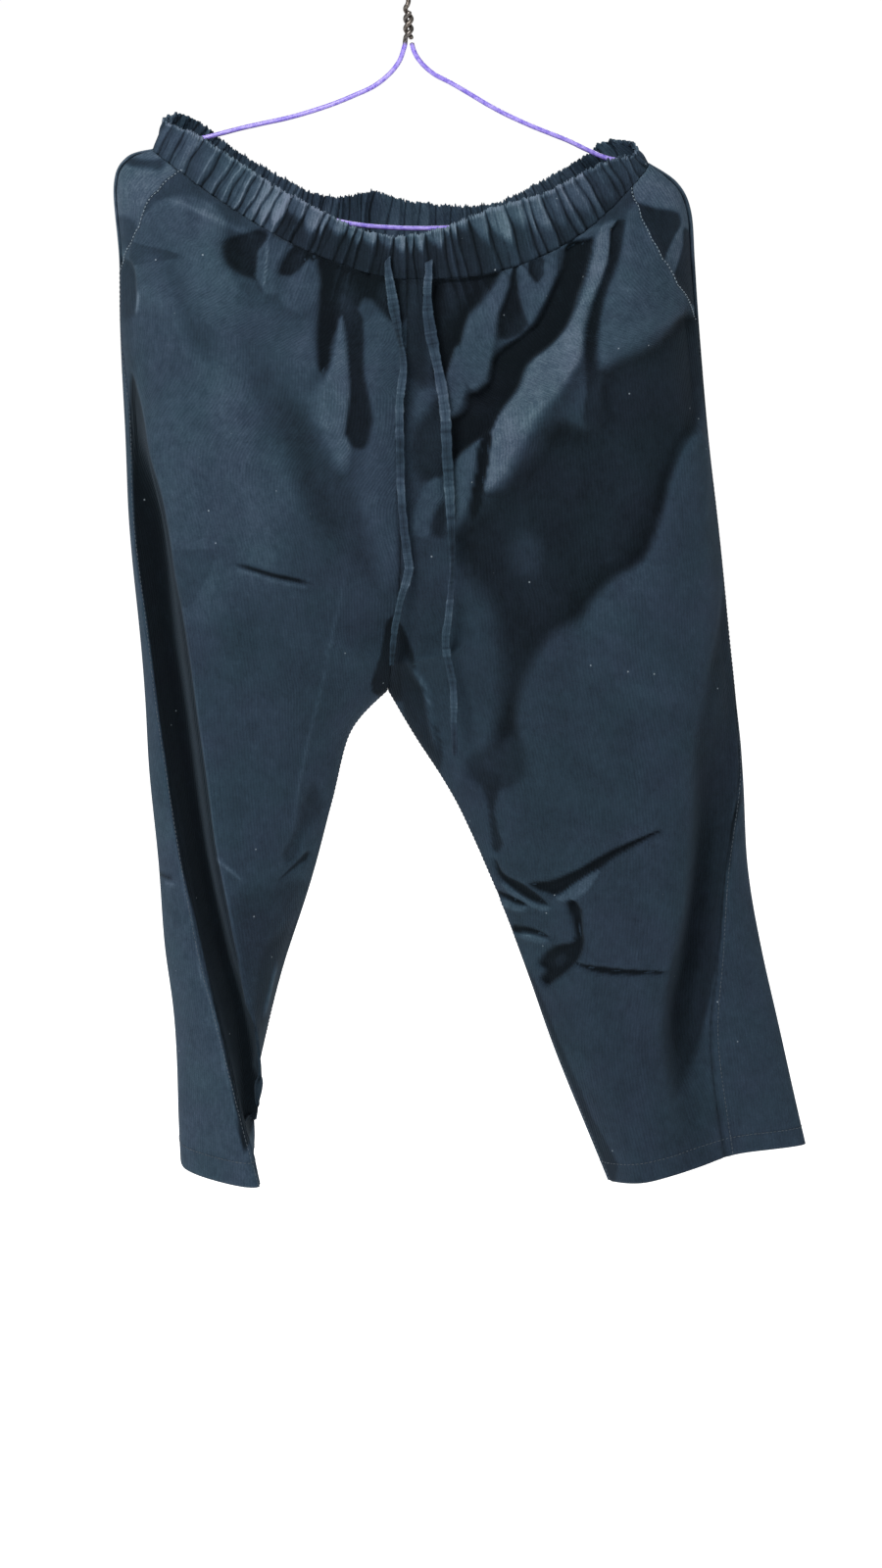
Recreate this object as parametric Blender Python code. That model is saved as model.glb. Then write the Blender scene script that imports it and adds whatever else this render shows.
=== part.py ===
"""Corduroy joggers hanging on a coated wire hanger, with the waistband stretched open round the wire.

Lengths in the tables are millimetres. X runs to the viewer's right, Y away from the viewer and Z up.
The origin is the inside top of the hanger's hook. Left and right in names are the wearer's.
Each half of the garment is one wrapped surface: a coordinate s runs from the waist seam (0) through the
crotch (7) to the hem (13), and a coordinate t runs round it, from the centre front or front inseam (0)
through the side seam (4) to the centre back or back inseam (8). The pieces are cut from it at the seams.
"""

import math
from collections import namedtuple

import bpy
import numpy as np

MM = 0.001

CLOTH = 1.4  # corduroy, with its seam allowances pressed flat
BAND_WALL = 2.6  # two layers of cloth round a flat elastic
SEAM_GAP = 0.4  # between the edges of two sewn pieces
FACING_DEPTH = 1.8  # how far the pocket facing lies under the front
FACING_WALL = 1.1
GATHERS = 108  # round the whole waistband
GATHER_DEPTH = 1.5
WIRE = 4.0  # diameter of the hanger's wire over its coating
TIE_WIDTH = 7.0
TIE_THICK = 1.3

CROTCH_ROW = 7
HEM_ROW = 13
SIDE_SEAM = 4
CENTRE_BACK = 8

# One row per level. front, side and back are depths under the hook along the centre front or front inseam,
# the side seam and the centre back or back inseam. The rest are points of the section: inner edge, belly,
# ridge of the front face, floor of the side fold, side seam, outer edge and seat. droop bends the level down
# between the centre and the side seam.
Section = namedtuple(
    "Section",
    "front side back inner_x front_y back_y belly_y ridge_x ridge_y floor_x floor_y seam_x seam_y edge_x edge_y seat_y droop",
)

RIGHT_HALF = (
    Section(288, 183, 266, -1, -38, 40, -36, -148, -26, -185, -16, -213, 0, -209, 12, 38, 1.6),
    Section(304, 190, 285, -1, -44, 43, -43, -163, -38, -204, -24, -235, 2, -236, 16, 44, 1.8),
    Section(328, 213, 309, -1, -48, 46, -52, -175, -48, -216, -28, -246, 2, -247, 16, 50, 1.7),
    Section(368, 272, 356, -3, -50, 48, -58, -183, -52, -221, -30, -243, 2, -244, 16, 58, 1.4),
    Section(421, 336, 419, -5, -48, 48, -60, -188, -54, -222, -34, -243, 4, -245, 18, 62, 1.2),
    Section(479, 410, 486, -7, -44, 46, -60, -218, -50, -229, -12, -236, 4, -243, 20, 62, 1.1),
    Section(547, 493, 558, -8, -36, 38, -60, -205, -52, -220, 6, -234, 0, -241, 20, 62, 1.0),
    Section(642, 586, 642, -19, 8, 8, -56, -189, -54, -211, 10, -224, -4, -234, 18, 60, 1.0),
    Section(678, 653, 678, -51, 6, 6, -52, -181, -54, -202, 12, -217, -8, -230, 18, 60, 1.0),
    Section(738, 721, 738, -67, 4, 4, -48, -173, -52, -193, 12, -207, -12, -227, 16, 62, 1.0),
    Section(811, 798, 811, -87, 0, 0, -44, -162, -50, -181, 12, -195, -18, -221, 14, 66, 1.0),
    Section(887, 870, 887, -111, 6, 6, -34, -146, -44, -166, 10, -181, -28, -216, 12, 70, 1.0),
    Section(970, 942, 970, -132, 24, 24, -10, -131, -26, -145, -4, -162, -40, -208, 8, 76, 1.0),
    Section(1064, 1072, 1064, -152, 60, 60, 28, -141, 4, -138, -26, -131, -50, -202, 0, 84, 1.0),
)

LEFT_HALF = (
    Section(288, 195, 266, -1, -38, 40, -36, 141, -26, 178, -16, 201, 0, 199, 12, 38, 2.8),
    Section(304, 211, 285, -1, -44, 43, -43, 161, -38, 200, -24, 224, 2, 225, 14, 44, 2.7),
    Section(328, 234, 309, -1, -48, 46, -50, 180, -50, 214, -30, 235, 2, 237, 14, 50, 2.5),
    Section(368, 278, 356, -3, -50, 48, -56, 193, -54, 222, -32, 239, 2, 241, 14, 58, 2.0),
    Section(421, 340, 419, -5, -48, 48, -58, 198, -52, 227, -32, 245, 4, 246, 16, 62, 1.5),
    Section(479, 418, 486, -7, -44, 46, -58, 207, -50, 237, -30, 253, 4, 254, 16, 62, 1.2),
    Section(547, 502, 558, -8, -36, 38, -56, 216, -48, 247, -30, 264, 4, 265, 16, 60, 1.0),
    Section(642, 587, 642, -19, 8, 8, -52, 226, -48, 256, -28, 274, 4, 274, 16, 58, 1.0),
    Section(680, 650, 680, 3, 8, 8, -50, 234, -46, 264, -26, 281, 2, 282, 16, 56, 1.0),
    Section(738, 718, 738, 39, 4, 4, -48, 238, -44, 262, -16, 285, -6, 289, 10, 54, 1.0),
    Section(816, 799, 816, 74, 0, 0, -46, 236, -42, 257, -8, 274, -14, 296, 12, 52, 1.0),
    Section(890, 873, 890, 102, -4, -4, -44, 226, -40, 247, -6, 269, -16, 309, 14, 50, 1.0),
    Section(968, 952, 968, 131, -12, -12, -42, 215, -40, 239, -14, 263, -20, 327, 18, 50, 1.0),
    Section(1078, 1056, 1078, 176, -20, -20, -45, 233, -42, 252, -34, 277, -22, 352, 22, 48, 1.0),
)

# Folds of the front, as seen in the x-z plane: half width, depth along the surface (out is positive), path.
Fold = namedtuple("Fold", "width depth path")

RIGHT_FOLDS = (
    Fold(20, -7, ((-138, -222), (-137, -262))),
    Fold(12, 5, ((-118, -232), (-108, -278), (-100, -310))),
    Fold(11, -7, ((-76, -246), (-74, -280), (-71, -342))),
    Fold(10, 6, ((-56, -252), (-55, -295), (-52, -350))),
    Fold(13, -8, ((-40, -290), (-43, -350), (-46, -418))),
    Fold(9, -3, ((-50, -498), (-60, -540), (-74, -612), (-92, -708), (-101, -768))),
)

LEFT_FOLDS = (
    Fold(12, 6, ((87, -250), (62, -300), (54, -366))),
    Fold(12, 5, ((113, -248), (136, -300))),
    Fold(24, 12, ((166, -226), (143, -310), (118, -355), (69, -415), (44, -455), (12, -500))),
    Fold(34, -13, ((187, -388), (155, -440), (118, -490), (72, -555), (56, -620))),
    Fold(10, -5, ((215, -745), (167, -768), (130, -788), (102, -792))),
    Fold(11, -6, ((146, -802), (150, -836), (136, -858), (112, -866))),
)

# The slanted pocket openings: at each level s, the coordinate t of the front's cut edge.
RIGHT_POCKET = ((0.0, 3.2), (1.1, 3.08), (2.3, 3.14), (2.65, 3.36), (3.0, 3.75), (3.2, 4.0))
LEFT_POCKET = (
    (0.0, 3.3),
    (0.5, 3.06),
    (0.9, 2.87),
    (1.7, 2.71),
    (2.35, 2.73),
    (3.05, 3.02),
    (3.5, 3.55),
    (3.8, 4.0),
)
FACING_OVERLAP = 3  # how many of the front's last columns the facing runs behind

# Top edge of the waistband, from the centre front to the wearer's right, round the back and on: x, y, z.
BAND_TOP = (
    (-1, -36, -252),
    (-36, -37, -248),
    (-69, -36, -233),
    (-106, -33, -214),
    (-146, -26, -189),
    (-176, -17, -170),
    (-198, -4, -162),
    (-204, 7, -158),
    (-192, 17, -154),
    (-178, 24, -160),
    (-151, 32, -181),
    (-109, 38, -206),
    (-77, 40, -221),
    (-54, 41, -223),
    (-28, 41, -219),
    (-6, 41, -226),
    (19, 41, -229),
    (48, 40, -231),
    (75, 39, -228),
    (102, 35, -215),
    (146, 27, -191),
    (168, 18, -176),
    (184, 12, -178),
    (191, 4, -183),
    (186, -7, -188),
    (172, -16, -190),
    (150, -24, -199),
    (111, -31, -218),
    (71, -35, -229),
    (30, -36, -245),
)

# The hanger: neck and right half of the frame, then the left half, as x and z.
ARM_RIGHT = ((-3, -98), (-7, -110), (-22, -127), (-50, -141), (-95, -156), (-136, -165), (-172, -174))
END_RIGHT = ((-196, -179), (-206.9, -182), (-206.9, -189), (-191, -195))
BAR = ((-129, -219), (-90, -234), (-51, -244), (-6, -248), (42, -247), (80, -241), (117, -231), (160, -216))
END_LEFT = ((176, -208), (193, -204), (197.2, -197.5), (186, -194))
ARM_LEFT = ((168, -191), (133, -176), (100, -163), (76, -152), (43, -133), (11, -113), (5, -104), (2.6, -96))
FRAME_Y = 4.0
TWIST_BOTTOM = -95.0
TWIST_TOP = -66.0
TWIST_PITCH = 16.0
HOOK_RADIUS = 20.0

# The ties' free runs: x, y, z.
TIE_RIGHT = (
    (-17, -40.2, -272),
    (-17, -43.5, -273),
    (-17, -45.6, -277),
    (-15, -49, -291),
    (-12, -53, -310),
    (-8, -57, -330),
    (-4, -60, -356),
    (-7, -60, -385),
    (-7, -59, -425),
    (-6, -56, -468),
    (-2, -52, -510),
    (0, -49, -528),
    (-7, -45, -555),
    (-12, -42, -580),
    (-15, -41, -612),
)
TIE_LEFT = (
    (17, -40.2, -274),
    (17, -43.5, -275),
    (17, -45.8, -279),
    (16, -49.5, -293),
    (16, -54, -312),
    (20, -58, -338),
    (25, -61, -362),
    (30, -62, -392),
    (32, -62, -430),
    (35, -61, -480),
    (36, -60, -527),
    (34, -57, -561),
    (31, -55, -592),
    (37, -54, -625),
    (38, -53, -660),
    (39, -52, -688),
)

NAVY = (0.030, 0.046, 0.066, 1.0)
NAVY_TIE = (0.040, 0.060, 0.080, 1.0)
PURPLE = (0.32, 0.24, 0.72, 1.0)
BARE_WIRE = (0.22, 0.19, 0.17, 1.0)


def hermite(before, start, end, after, amount):
    """A smooth curve from start to end that leaves and meets them in line with the points on either side."""
    gap_before = np.linalg.norm(start - before, axis=-1, keepdims=True) + 1e-6
    gap = np.linalg.norm(end - start, axis=-1, keepdims=True) + 1e-6
    gap_after = np.linalg.norm(after - end, axis=-1, keepdims=True) + 1e-6
    slope = (end - start) / gap
    leave = (gap * (start - before) / gap_before + gap_before * slope) / (gap + gap_before)
    meet = (gap_after * slope + gap * (after - end) / gap_after) / (gap + gap_after)
    a = np.asarray(amount)[..., None]
    return (
        (2 * a**3 - 3 * a**2 + 1) * start
        + (a**3 - 2 * a**2 + a) * gap * leave
        + (3 * a**2 - 2 * a**3) * end
        + (a**3 - a**2) * gap * meet
    )


def table_at(table, s):
    """The rows of a table at levels s, smooth between rows; the inner edge turns a corner at the crotch."""
    rows = np.array(table, float)
    s = np.clip(np.asarray(s, float), 0, len(rows) - 1)
    low = np.minimum(s.astype(int), len(rows) - 2)
    last = len(rows) - 1

    def smooth(first, final):
        before = rows[np.clip(low - 1, first, final)]
        after = rows[np.clip(low + 2, first, final)]
        a = (s - low)[..., None]
        start, end = rows[low], rows[low + 1]
        leave, meet = (end - before) / 2, (after - start) / 2
        return (
            (2 * a**3 - 3 * a**2 + 1) * start
            + (a**3 - 2 * a**2 + a) * leave
            + (3 * a**2 - 2 * a**3) * end
            + (a**3 - a**2) * meet
        )

    found = smooth(0, last)
    torso = (low < CROTCH_ROW)[..., None]
    cornered = np.where(torso, smooth(0, CROTCH_ROW), smooth(CROTCH_ROW, last))
    for name in ("front", "back", "inner_x", "front_y", "back_y"):
        column = Section._fields.index(name)
        found[..., column] = cornered[..., column]
    return found


def controls(table, s):
    """The nine points that the section at each level s passes through."""
    c = dict(zip(Section._fields, np.moveaxis(table_at(table, s), -1, 0)))
    belly_x = c["inner_x"] + 0.5 * (c["ridge_x"] - c["inner_x"])
    seat_out = c["edge_x"] + 0.16 * (c["inner_x"] - c["edge_x"])
    seat_in = c["edge_x"] + 0.6 * (c["inner_x"] - c["edge_x"])

    def depth(x, near):
        across = (x - c["inner_x"]) / (c["seam_x"] - c["inner_x"])
        return -(near + (c["side"] - near) * np.clip(across, 0, 1) ** c["droop"])

    points = (
        (c["inner_x"], c["front_y"], -c["front"]),
        (belly_x, c["belly_y"], depth(belly_x, c["front"])),
        (c["ridge_x"], c["ridge_y"], depth(c["ridge_x"], c["front"])),
        (c["floor_x"], c["floor_y"], depth(c["floor_x"], c["front"])),
        (c["seam_x"], c["seam_y"], -c["side"]),
        (c["edge_x"], c["edge_y"], -c["side"]),
        (seat_out, 0.8 * c["seat_y"] + 0.2 * c["edge_y"], depth(seat_out, c["back"])),
        (seat_in, c["seat_y"], depth(seat_in, c["back"])),
        (c["inner_x"], c["back_y"], -c["back"]),
    )
    return np.stack([np.stack(p, -1) for p in points], -2)


def smooth_surface(table, s, t):
    """Points of one half at levels s and coordinates t, before its folds."""
    s, t = np.broadcast_arrays(np.asarray(s, float), np.asarray(t, float))
    points = controls(table, s)
    leg = np.clip(s - CROTCH_ROW + 1, 0, 1)[..., None]
    mirrored_front = points[..., 1, :] * [-1, 1, 1] + points[..., 0, :] * [2, 0, 0]
    mirrored_back = points[..., 7, :] * [-1, 1, 1] + points[..., 8, :] * [2, 0, 0]
    before = mirrored_front + leg * (points[..., 7, :] - mirrored_front)
    after = mirrored_back + leg * (points[..., 1, :] - mirrored_back)
    points = np.concatenate([before[..., None, :], points, after[..., None, :]], -2)
    low = np.clip(t.astype(int), 0, CENTRE_BACK - 1)
    chosen = [np.take_along_axis(points, (low + k)[..., None, None], -2)[..., 0, :] for k in range(4)]
    return on_own_side(table, s, hermite(*chosen, t - low), 0)


def on_own_side(table, s, points, gap):
    """The points kept clear of the plane that the two halves share, down to the crotch."""
    turn = half_turn(table)
    limit = table_at(table, s)[..., Section._fields.index("inner_x")] * turn - gap
    limit = limit + 60 * np.clip(s - CROTCH_ROW, 0, HEM_ROW)
    x = np.minimum(points[..., 0] * turn, limit) * turn
    return np.concatenate([x[..., None], points[..., 1:]], -1)


def path_distance(x, z, path):
    """Distance from each point to a path in the x-z plane, and how far along the path it is, from 0 to 1."""
    best = np.full(x.shape, 1e9)
    along = np.zeros(x.shape)
    nodes = np.array(path, float)
    lengths = np.linalg.norm(np.diff(nodes, axis=0), axis=1)
    total = lengths.sum()
    run = 0.0
    for (x0, z0), (x1, z1), length in zip(nodes[:-1], nodes[1:], lengths):
        a = np.clip(((x - x0) * (x1 - x0) + (z - z0) * (z1 - z0)) / length**2, 0, 1)
        d = np.hypot(x - x0 - a * (x1 - x0), z - z0 - a * (z1 - z0))
        along = np.where(d < best, (run + a * length) / total, along)
        best = np.minimum(best, d)
        run += length
    return best, along


def fold_depth(folds, points, s, t):
    """How far the folds push the front out, nothing at its seams."""
    depth = np.zeros(t.shape)
    for fold in folds:
        d, along = path_distance(points[..., 0], points[..., 2], fold.path)
        swell = np.clip(4 * along + 0.35, 0, 1) * np.clip(4 * (1 - along), 0, 1)
        depth += fold.depth * swell * np.exp(-((d / fold.width) ** 2))
    edges = np.clip(t / 0.35, 0, 1) * np.clip((SIDE_SEAM - t) / 0.6, 0, 1)
    return depth * edges * np.clip(s / 0.5, 0, 1)


def pleat_depth(points, s, t):
    """The soft pleats that the gathered waist leaves in the cloth under it, away from the side seam."""
    x = points[..., 0]
    away = np.clip((abs(t - SIDE_SEAM) - 0.7) / 0.8, 0, 1)
    wave = np.sin(x / 5.3 + 1.1 * np.sin(x / 31)) + 0.6 * np.sin(x / 8.9 + 2)
    return 1.6 * away * wave * np.exp(-(((s - 0.3) / 1.1) ** 2))


def surface(half, s, t):
    """Points of one half at levels s and coordinates t. Past its edges it runs on as its neighbour does."""
    table, folds = half
    s, t = np.broadcast_arrays(np.asarray(s, float), np.asarray(t, float))
    inside = np.where(t < 0, -t, np.where(t > CENTRE_BACK, 2 * CENTRE_BACK - t, t))
    wrapped = np.where(t < 0, t + CENTRE_BACK, np.where(t > CENTRE_BACK, t - CENTRE_BACK, t))
    torso = s < CROTCH_ROW
    used = np.where(torso, inside, wrapped)
    points = smooth_surface(table, s, used)
    step = 0.02
    round_it = smooth_surface(table, s, np.minimum(used + step, CENTRE_BACK)) - smooth_surface(
        table, s, np.maximum(used - step, 0)
    )
    outward = np.stack([-round_it[..., 1], round_it[..., 0], np.zeros(t.shape)], -1)
    outward /= np.linalg.norm(outward, axis=-1, keepdims=True) + 1e-9
    outward *= half_turn(table)
    front = used < SIDE_SEAM
    edges = np.clip(used / 0.35, 0, 1) * np.clip((CENTRE_BACK - used) / 0.35, 0, 1)
    push = np.where(front, fold_depth(folds, points, s, used), 0) + pleat_depth(points, s, used) * edges
    points = points + outward * push[..., None]
    centre = smooth_surface(table, s, np.where(t < 0, 0, CENTRE_BACK))
    mirrored = points * [-1, 1, 1] + centre * [2, 0, 0]
    outside = ((t < 0) | (t > CENTRE_BACK)) & torso
    return np.where(outside[..., None], mirrored, points)


def half_turn(table):
    """1 for the half at the viewer's left and -1 for the other, which runs round the opposite way."""
    return 1.0 if table[0].seam_x < 0 else -1.0


def normals(half, s, t):
    down = surface(half, np.minimum(s + 0.04, HEM_ROW), t) - surface(half, np.maximum(s - 0.04, 0), t)
    along = surface(half, s, t + 0.06) - surface(half, s, t - 0.06)
    out = np.cross(along, down) * half_turn(half[0])
    return out / (np.linalg.norm(out, axis=-1, keepdims=True) + 1e-9), along


def sheet_mesh(outer, inner):
    """A closed wall between two grids of points."""
    rows, columns = outer.shape[:2]
    verts = np.concatenate([outer.reshape(-1, 3), inner.reshape(-1, 3)]) * MM
    n = rows * columns
    faces = []
    for i in range(rows - 1):
        for j in range(columns - 1):
            a, b = i * columns + j, i * columns + j + 1
            c, d = b + columns, a + columns
            faces.append((a, b, c, d))
            faces.append((n + a, n + d, n + c, n + b))
    rim = (
        [j for j in range(columns)]
        + [i * columns + columns - 1 for i in range(1, rows)]
        + [(rows - 1) * columns + j for j in range(columns - 2, -1, -1)]
        + [i * columns for i in range(rows - 2, 0, -1)]
    )
    for a, b in zip(rim, rim[1:] + rim[:1]):
        faces.append((b, a, n + a, n + b))
    return verts, faces


def ring_mesh(outer, inner):
    """A closed wall between two grids of points that run right round."""
    rows, columns = outer.shape[:2]
    verts = np.concatenate([outer.reshape(-1, 3), inner.reshape(-1, 3)]) * MM
    n = rows * columns
    faces = []
    for j in range(columns):
        k = (j + 1) % columns
        for i in range(rows - 1):
            a, b, c, d = i * columns + j, i * columns + k, (i + 1) * columns + k, (i + 1) * columns + j
            faces.append((a, b, c, d))
            faces.append((n + a, n + d, n + c, n + b))
        faces.append((k, j, n + j, n + k))
        bottom = (rows - 1) * columns
        faces.append((bottom + j, bottom + k, n + bottom + k, n + bottom + j))
    return verts, faces


def paint(name, color, roughness):
    material = bpy.data.materials.new(name)
    material.use_nodes = True
    shader = material.node_tree.nodes["Principled BSDF"]
    shader.inputs["Base Color"].default_value = color
    shader.inputs["Roughness"].default_value = roughness
    material.diffuse_color = color
    return material


def add_mesh(name, verts, faces, material, collection):
    mesh = bpy.data.meshes.new(name)
    mesh.from_pydata([tuple(v) for v in verts], [], faces)
    mesh.validate()
    volume = sum(
        np.dot(verts[f[0]], np.cross(verts[f[k]], verts[f[k + 1]])) for f in faces for k in range(1, len(f) - 1)
    )
    if volume < 0:
        mesh.flip_normals()
    mesh.materials.append(material)
    thing = bpy.data.objects.new(name, mesh)
    collection.objects.link(thing)
    return thing


def panel(name, half, s, t, material, collection, sunk=0.0, wall=CLOTH):
    """One cut piece: a grid of levels s by coordinates t, given its wall and drawn back from its seams."""
    s_grid = np.repeat(s[:, None], t.shape[1], 1)
    out, along = normals(half, s_grid, t)
    points = surface(half, s_grid, t)
    side = along / (np.linalg.norm(along, axis=-1, keepdims=True) + 1e-9)
    points[:, 0] += side[:, 0] * SEAM_GAP / 2
    points[:, -1] -= side[:, -1] * SEAM_GAP / 2
    top = points[0, :, 2] - SEAM_GAP / 2 - 0.4 * sunk
    points -= out * sunk
    inner = points - out * wall
    points[0, :, 2] = np.minimum(points[0, :, 2], top)
    inner[0, :, 2] = np.minimum(inner[0, :, 2], top)
    points, inner = (on_own_side(half[0], s_grid, grid, SEAM_GAP / 2) for grid in (points, inner))
    return add_mesh(name, *sheet_mesh(points, inner), material, collection)


def spaced(parts):
    """Coordinates from (start, end, count) spans that share their ends."""
    values = [np.linspace(a, b, n, endpoint=False) for a, b, n in parts]
    return np.concatenate(values + [[parts[-1][1]]])


FRONT_SHARES = spaced([(0, 0.25, 7), (0.25, 0.5, 7), (0.5, 0.75, 4), (0.75, 1, 3)])
BACK_ROUND = spaced([(4, 5, 2), (5, 6, 3), (6, 7, 5), (7, 8, 5)])


def pocket_edge(pocket, s):
    levels, edges = np.array(pocket).T
    return np.interp(s, levels, edges)


def closed_curve(points, count):
    """Count points evenly spaced by length round a smooth closed curve."""
    points = np.array(points, float)
    n = len(points)
    u = np.linspace(0, n, n * 24, endpoint=False)
    low = u.astype(int)
    dense = hermite(points[low - 1], points[low], points[(low + 1) % n], points[(low + 2) % n], u - low)
    gaps = np.linalg.norm(np.roll(dense, -1, 0) - dense, axis=1)
    run = np.concatenate([[0], np.cumsum(gaps)])
    dense = np.concatenate([dense, dense[:1]])
    at = np.linspace(0, run[-1], count, endpoint=False)
    return np.stack([np.interp(at, run, dense[:, k]) for k in range(3)], -1)


def waist_round(pocket):
    """The coordinates t of the panels' top corners round one half of the waist."""
    cut = pocket[0][1]
    behind = np.linspace(cut, SIDE_SEAM, 5)[1:-1]
    return np.concatenate([FRONT_SHARES * cut, behind, BACK_ROUND])


def waist_seam(right, left, count):
    """Count points round the waist seam, from the centre front to the wearer's right and on round the back."""
    first, second = (
        smooth_surface(half[0], np.zeros(len(t)), t)
        for half, t in ((right, waist_round(RIGHT_POCKET)), (left, waist_round(LEFT_POCKET)[::-1]))
    )
    dense = np.concatenate([first[:-1], second])
    run = np.concatenate([[0], np.cumsum(np.linalg.norm(np.diff(dense, axis=0), axis=1))])
    at = np.linspace(0, run[-1], count, endpoint=False)
    return np.stack([np.interp(at, run, dense[:, k]) for k in range(3)], -1)


def waistband(right, left, material, collection):
    """The gathered casing: a corrugated wall that bulges over its elastic."""
    count = 2 * GATHERS
    low = waist_seam(right, left, count)
    low[:, 2] += SEAM_GAP
    high = closed_curve(BAND_TOP, count)
    across = np.roll(low, -3, 0) - np.roll(low, 3, 0)
    out = np.stack([-across[:, 1], across[:, 0], np.zeros(count)], -1)
    out /= np.linalg.norm(out, axis=1, keepdims=True)
    gather = np.where(np.arange(count) % 2 == 0, 1.0, -1.0)
    random = np.random.default_rng(7)
    gather *= 0.55 + 0.6 * random.random(count)
    rows = []
    for share, bulge, depth in ((1.0, 0.0, 1.0), (0.72, 1.7, 1.0), (0.3, 1.4, 0.9), (0.0, -0.6, 0.5)):
        row = low + share * (high - low)
        rows.append(row + out * (bulge + GATHER_DEPTH * depth * gather)[:, None])
    outer = np.stack(rows)
    inner = outer - out * BAND_WALL
    return add_mesh("waistband", *ring_mesh(outer, inner), material, collection)


def smooth_path(points, count):
    """Count points along a smooth open curve."""
    points = np.array(points, float)
    u = np.linspace(0, len(points) - 1, count)
    low = np.minimum(u.astype(int), len(points) - 2)
    before = np.maximum(low - 1, 0)
    after = np.minimum(low + 2, len(points) - 1)
    return hermite(points[before], points[low], points[low + 1], points[after], u - low)


def tie(name, route, material, collection):
    """A flat folded strip of the cloth, hanging free from the front of the waistband."""
    path = smooth_path(route, 30)
    along = np.gradient(path, axis=0)
    along /= np.linalg.norm(along, axis=1, keepdims=True)
    across = np.array([1.0, 0.0, 0.0]) - along * along[:, :1]
    across /= np.linalg.norm(across, axis=1, keepdims=True)
    face = np.cross(along, across)
    inner = np.stack([path - across * TIE_WIDTH / 2, path + across * TIE_WIDTH / 2], 1)
    return add_mesh(name, *sheet_mesh(inner + face[:, None] * TIE_THICK, inner), material, collection)


def wire(name, points, material, collection):
    """A round wire along a path, with closed ends."""
    curve = bpy.data.curves.new(name, "CURVE")
    curve.dimensions = "3D"
    curve.bevel_depth = WIRE / 2 * MM
    curve.bevel_resolution = 2
    curve.use_fill_caps = True
    line = curve.splines.new("POLY")
    line.points.add(len(points) - 1)
    for place, point in zip(line.points, points):
        place.co = (point[0] * MM, point[1] * MM, point[2] * MM, 1)
    curve.materials.append(material)
    thing = bpy.data.objects.new(name, curve)
    collection.objects.link(thing)
    return thing


def twist(phase, low, high, count):
    """One strand of the neck, wound about the upright axis of the hook."""
    reach = (WIRE + SEAM_GAP) / 2 + 0.25
    z = np.linspace(low, high, count)
    turn = phase + (z - low) / TWIST_PITCH * 2 * math.pi
    return [(reach * math.cos(a), FRAME_Y + reach * math.sin(a), h) for a, h in zip(turn, z)]


def hanger(coated, bare, collection):
    """The frame runs from the neck round both arms and the bar, then winds up the neck to its cut end."""
    flat = ARM_LEFT[::-1] + END_LEFT[::-1] + BAR[::-1] + END_RIGHT[::-1] + ARM_RIGHT[::-1]
    body = smooth_path([(x, FRAME_Y, z) for x, z in flat], 66)
    wound = twist(math.pi, TWIST_BOTTOM + 2, TWIST_TOP - 5, 18)
    wire("hanger_frame", list(body) + wound, coated, collection)
    neck = twist(0, TWIST_BOTTOM + 2, TWIST_TOP, 20)
    centre_z = WIRE / 2 - HOOK_RADIUS
    arc = [math.radians(a) for a in range(200, -31, -12)]
    bow = [(HOOK_RADIUS * math.cos(a), 0.0, centre_z + HOOK_RADIUS * math.sin(a)) for a in arc]
    lead = [(0, 3.5, TWIST_TOP + 5), (-4, 2.5, TWIST_TOP + 11), (-10, 1.0, TWIST_TOP + 22)]
    wire("hanger_hook", neck + lead + bow, bare, collection)


def build():
    for thing in list(bpy.data.objects):
        bpy.data.objects.remove(thing, do_unlink=True)
    collection = bpy.data.collections.new("corduroy_joggers_on_hanger")
    bpy.context.scene.collection.children.link(collection)

    cloth = paint("navy corduroy", NAVY, 0.95)
    strip = paint("navy corduroy tie", NAVY_TIE, 0.95)
    coated = paint("purple coated wire", PURPLE, 0.4)
    bare = paint("bare wire", BARE_WIRE, 0.45)

    right = (RIGHT_HALF, RIGHT_FOLDS)
    left = (LEFT_HALF, LEFT_FOLDS)
    levels = spaced([(0, 3, 9), (3, 7, 9), (7, 11, 10), (11, 13, 4)])

    for side, half, pocket in (("right", right, RIGHT_POCKET), ("left", left, LEFT_POCKET)):
        edge = pocket_edge(pocket, levels)
        panel(f"front_{side}", half, levels, FRONT_SHARES * edge[:, None], cloth, collection)
        back = np.repeat(BACK_ROUND[None], len(levels), 0)
        panel(f"back_{side}", half, levels, back, cloth, collection)
        behind = levels[levels <= pocket[-1][0]]
        cut = pocket_edge(pocket, behind)[:, None]
        beyond = cut + np.linspace(0, 1, 5)[1:] * (SIDE_SEAM - cut)
        reach = np.concatenate([FRONT_SHARES[-FACING_OVERLAP:] * cut, beyond], 1)
        panel(f"pocket_facing_{side}", half, behind, reach, cloth, collection, FACING_DEPTH, FACING_WALL)

    waistband(right, left, cloth, collection)
    tie("tie_right", TIE_RIGHT, strip, collection)
    tie("tie_left", TIE_LEFT, strip, collection)
    hanger(coated, bare, collection)


build()
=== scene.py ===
"""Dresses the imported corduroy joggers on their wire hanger: cloth, gathers, folds, stitching and wire.

Lengths in the tables are millimetres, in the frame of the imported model: X to the viewer's right, Y away
from the viewer, Z up, origin at the inside top of the hook. Left and right in names are the wearer's.
Each half of the garment is one wrapped surface: s runs from the waist seam (0) through the crotch (7) to
the hem (13), and t round it, from the centre front (0) through the side seam (4) to the centre back (8).
"""

from __future__ import annotations

import logging
import math
from dataclasses import dataclass
from enum import Enum
from typing import Any, NamedTuple, Sequence

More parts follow.
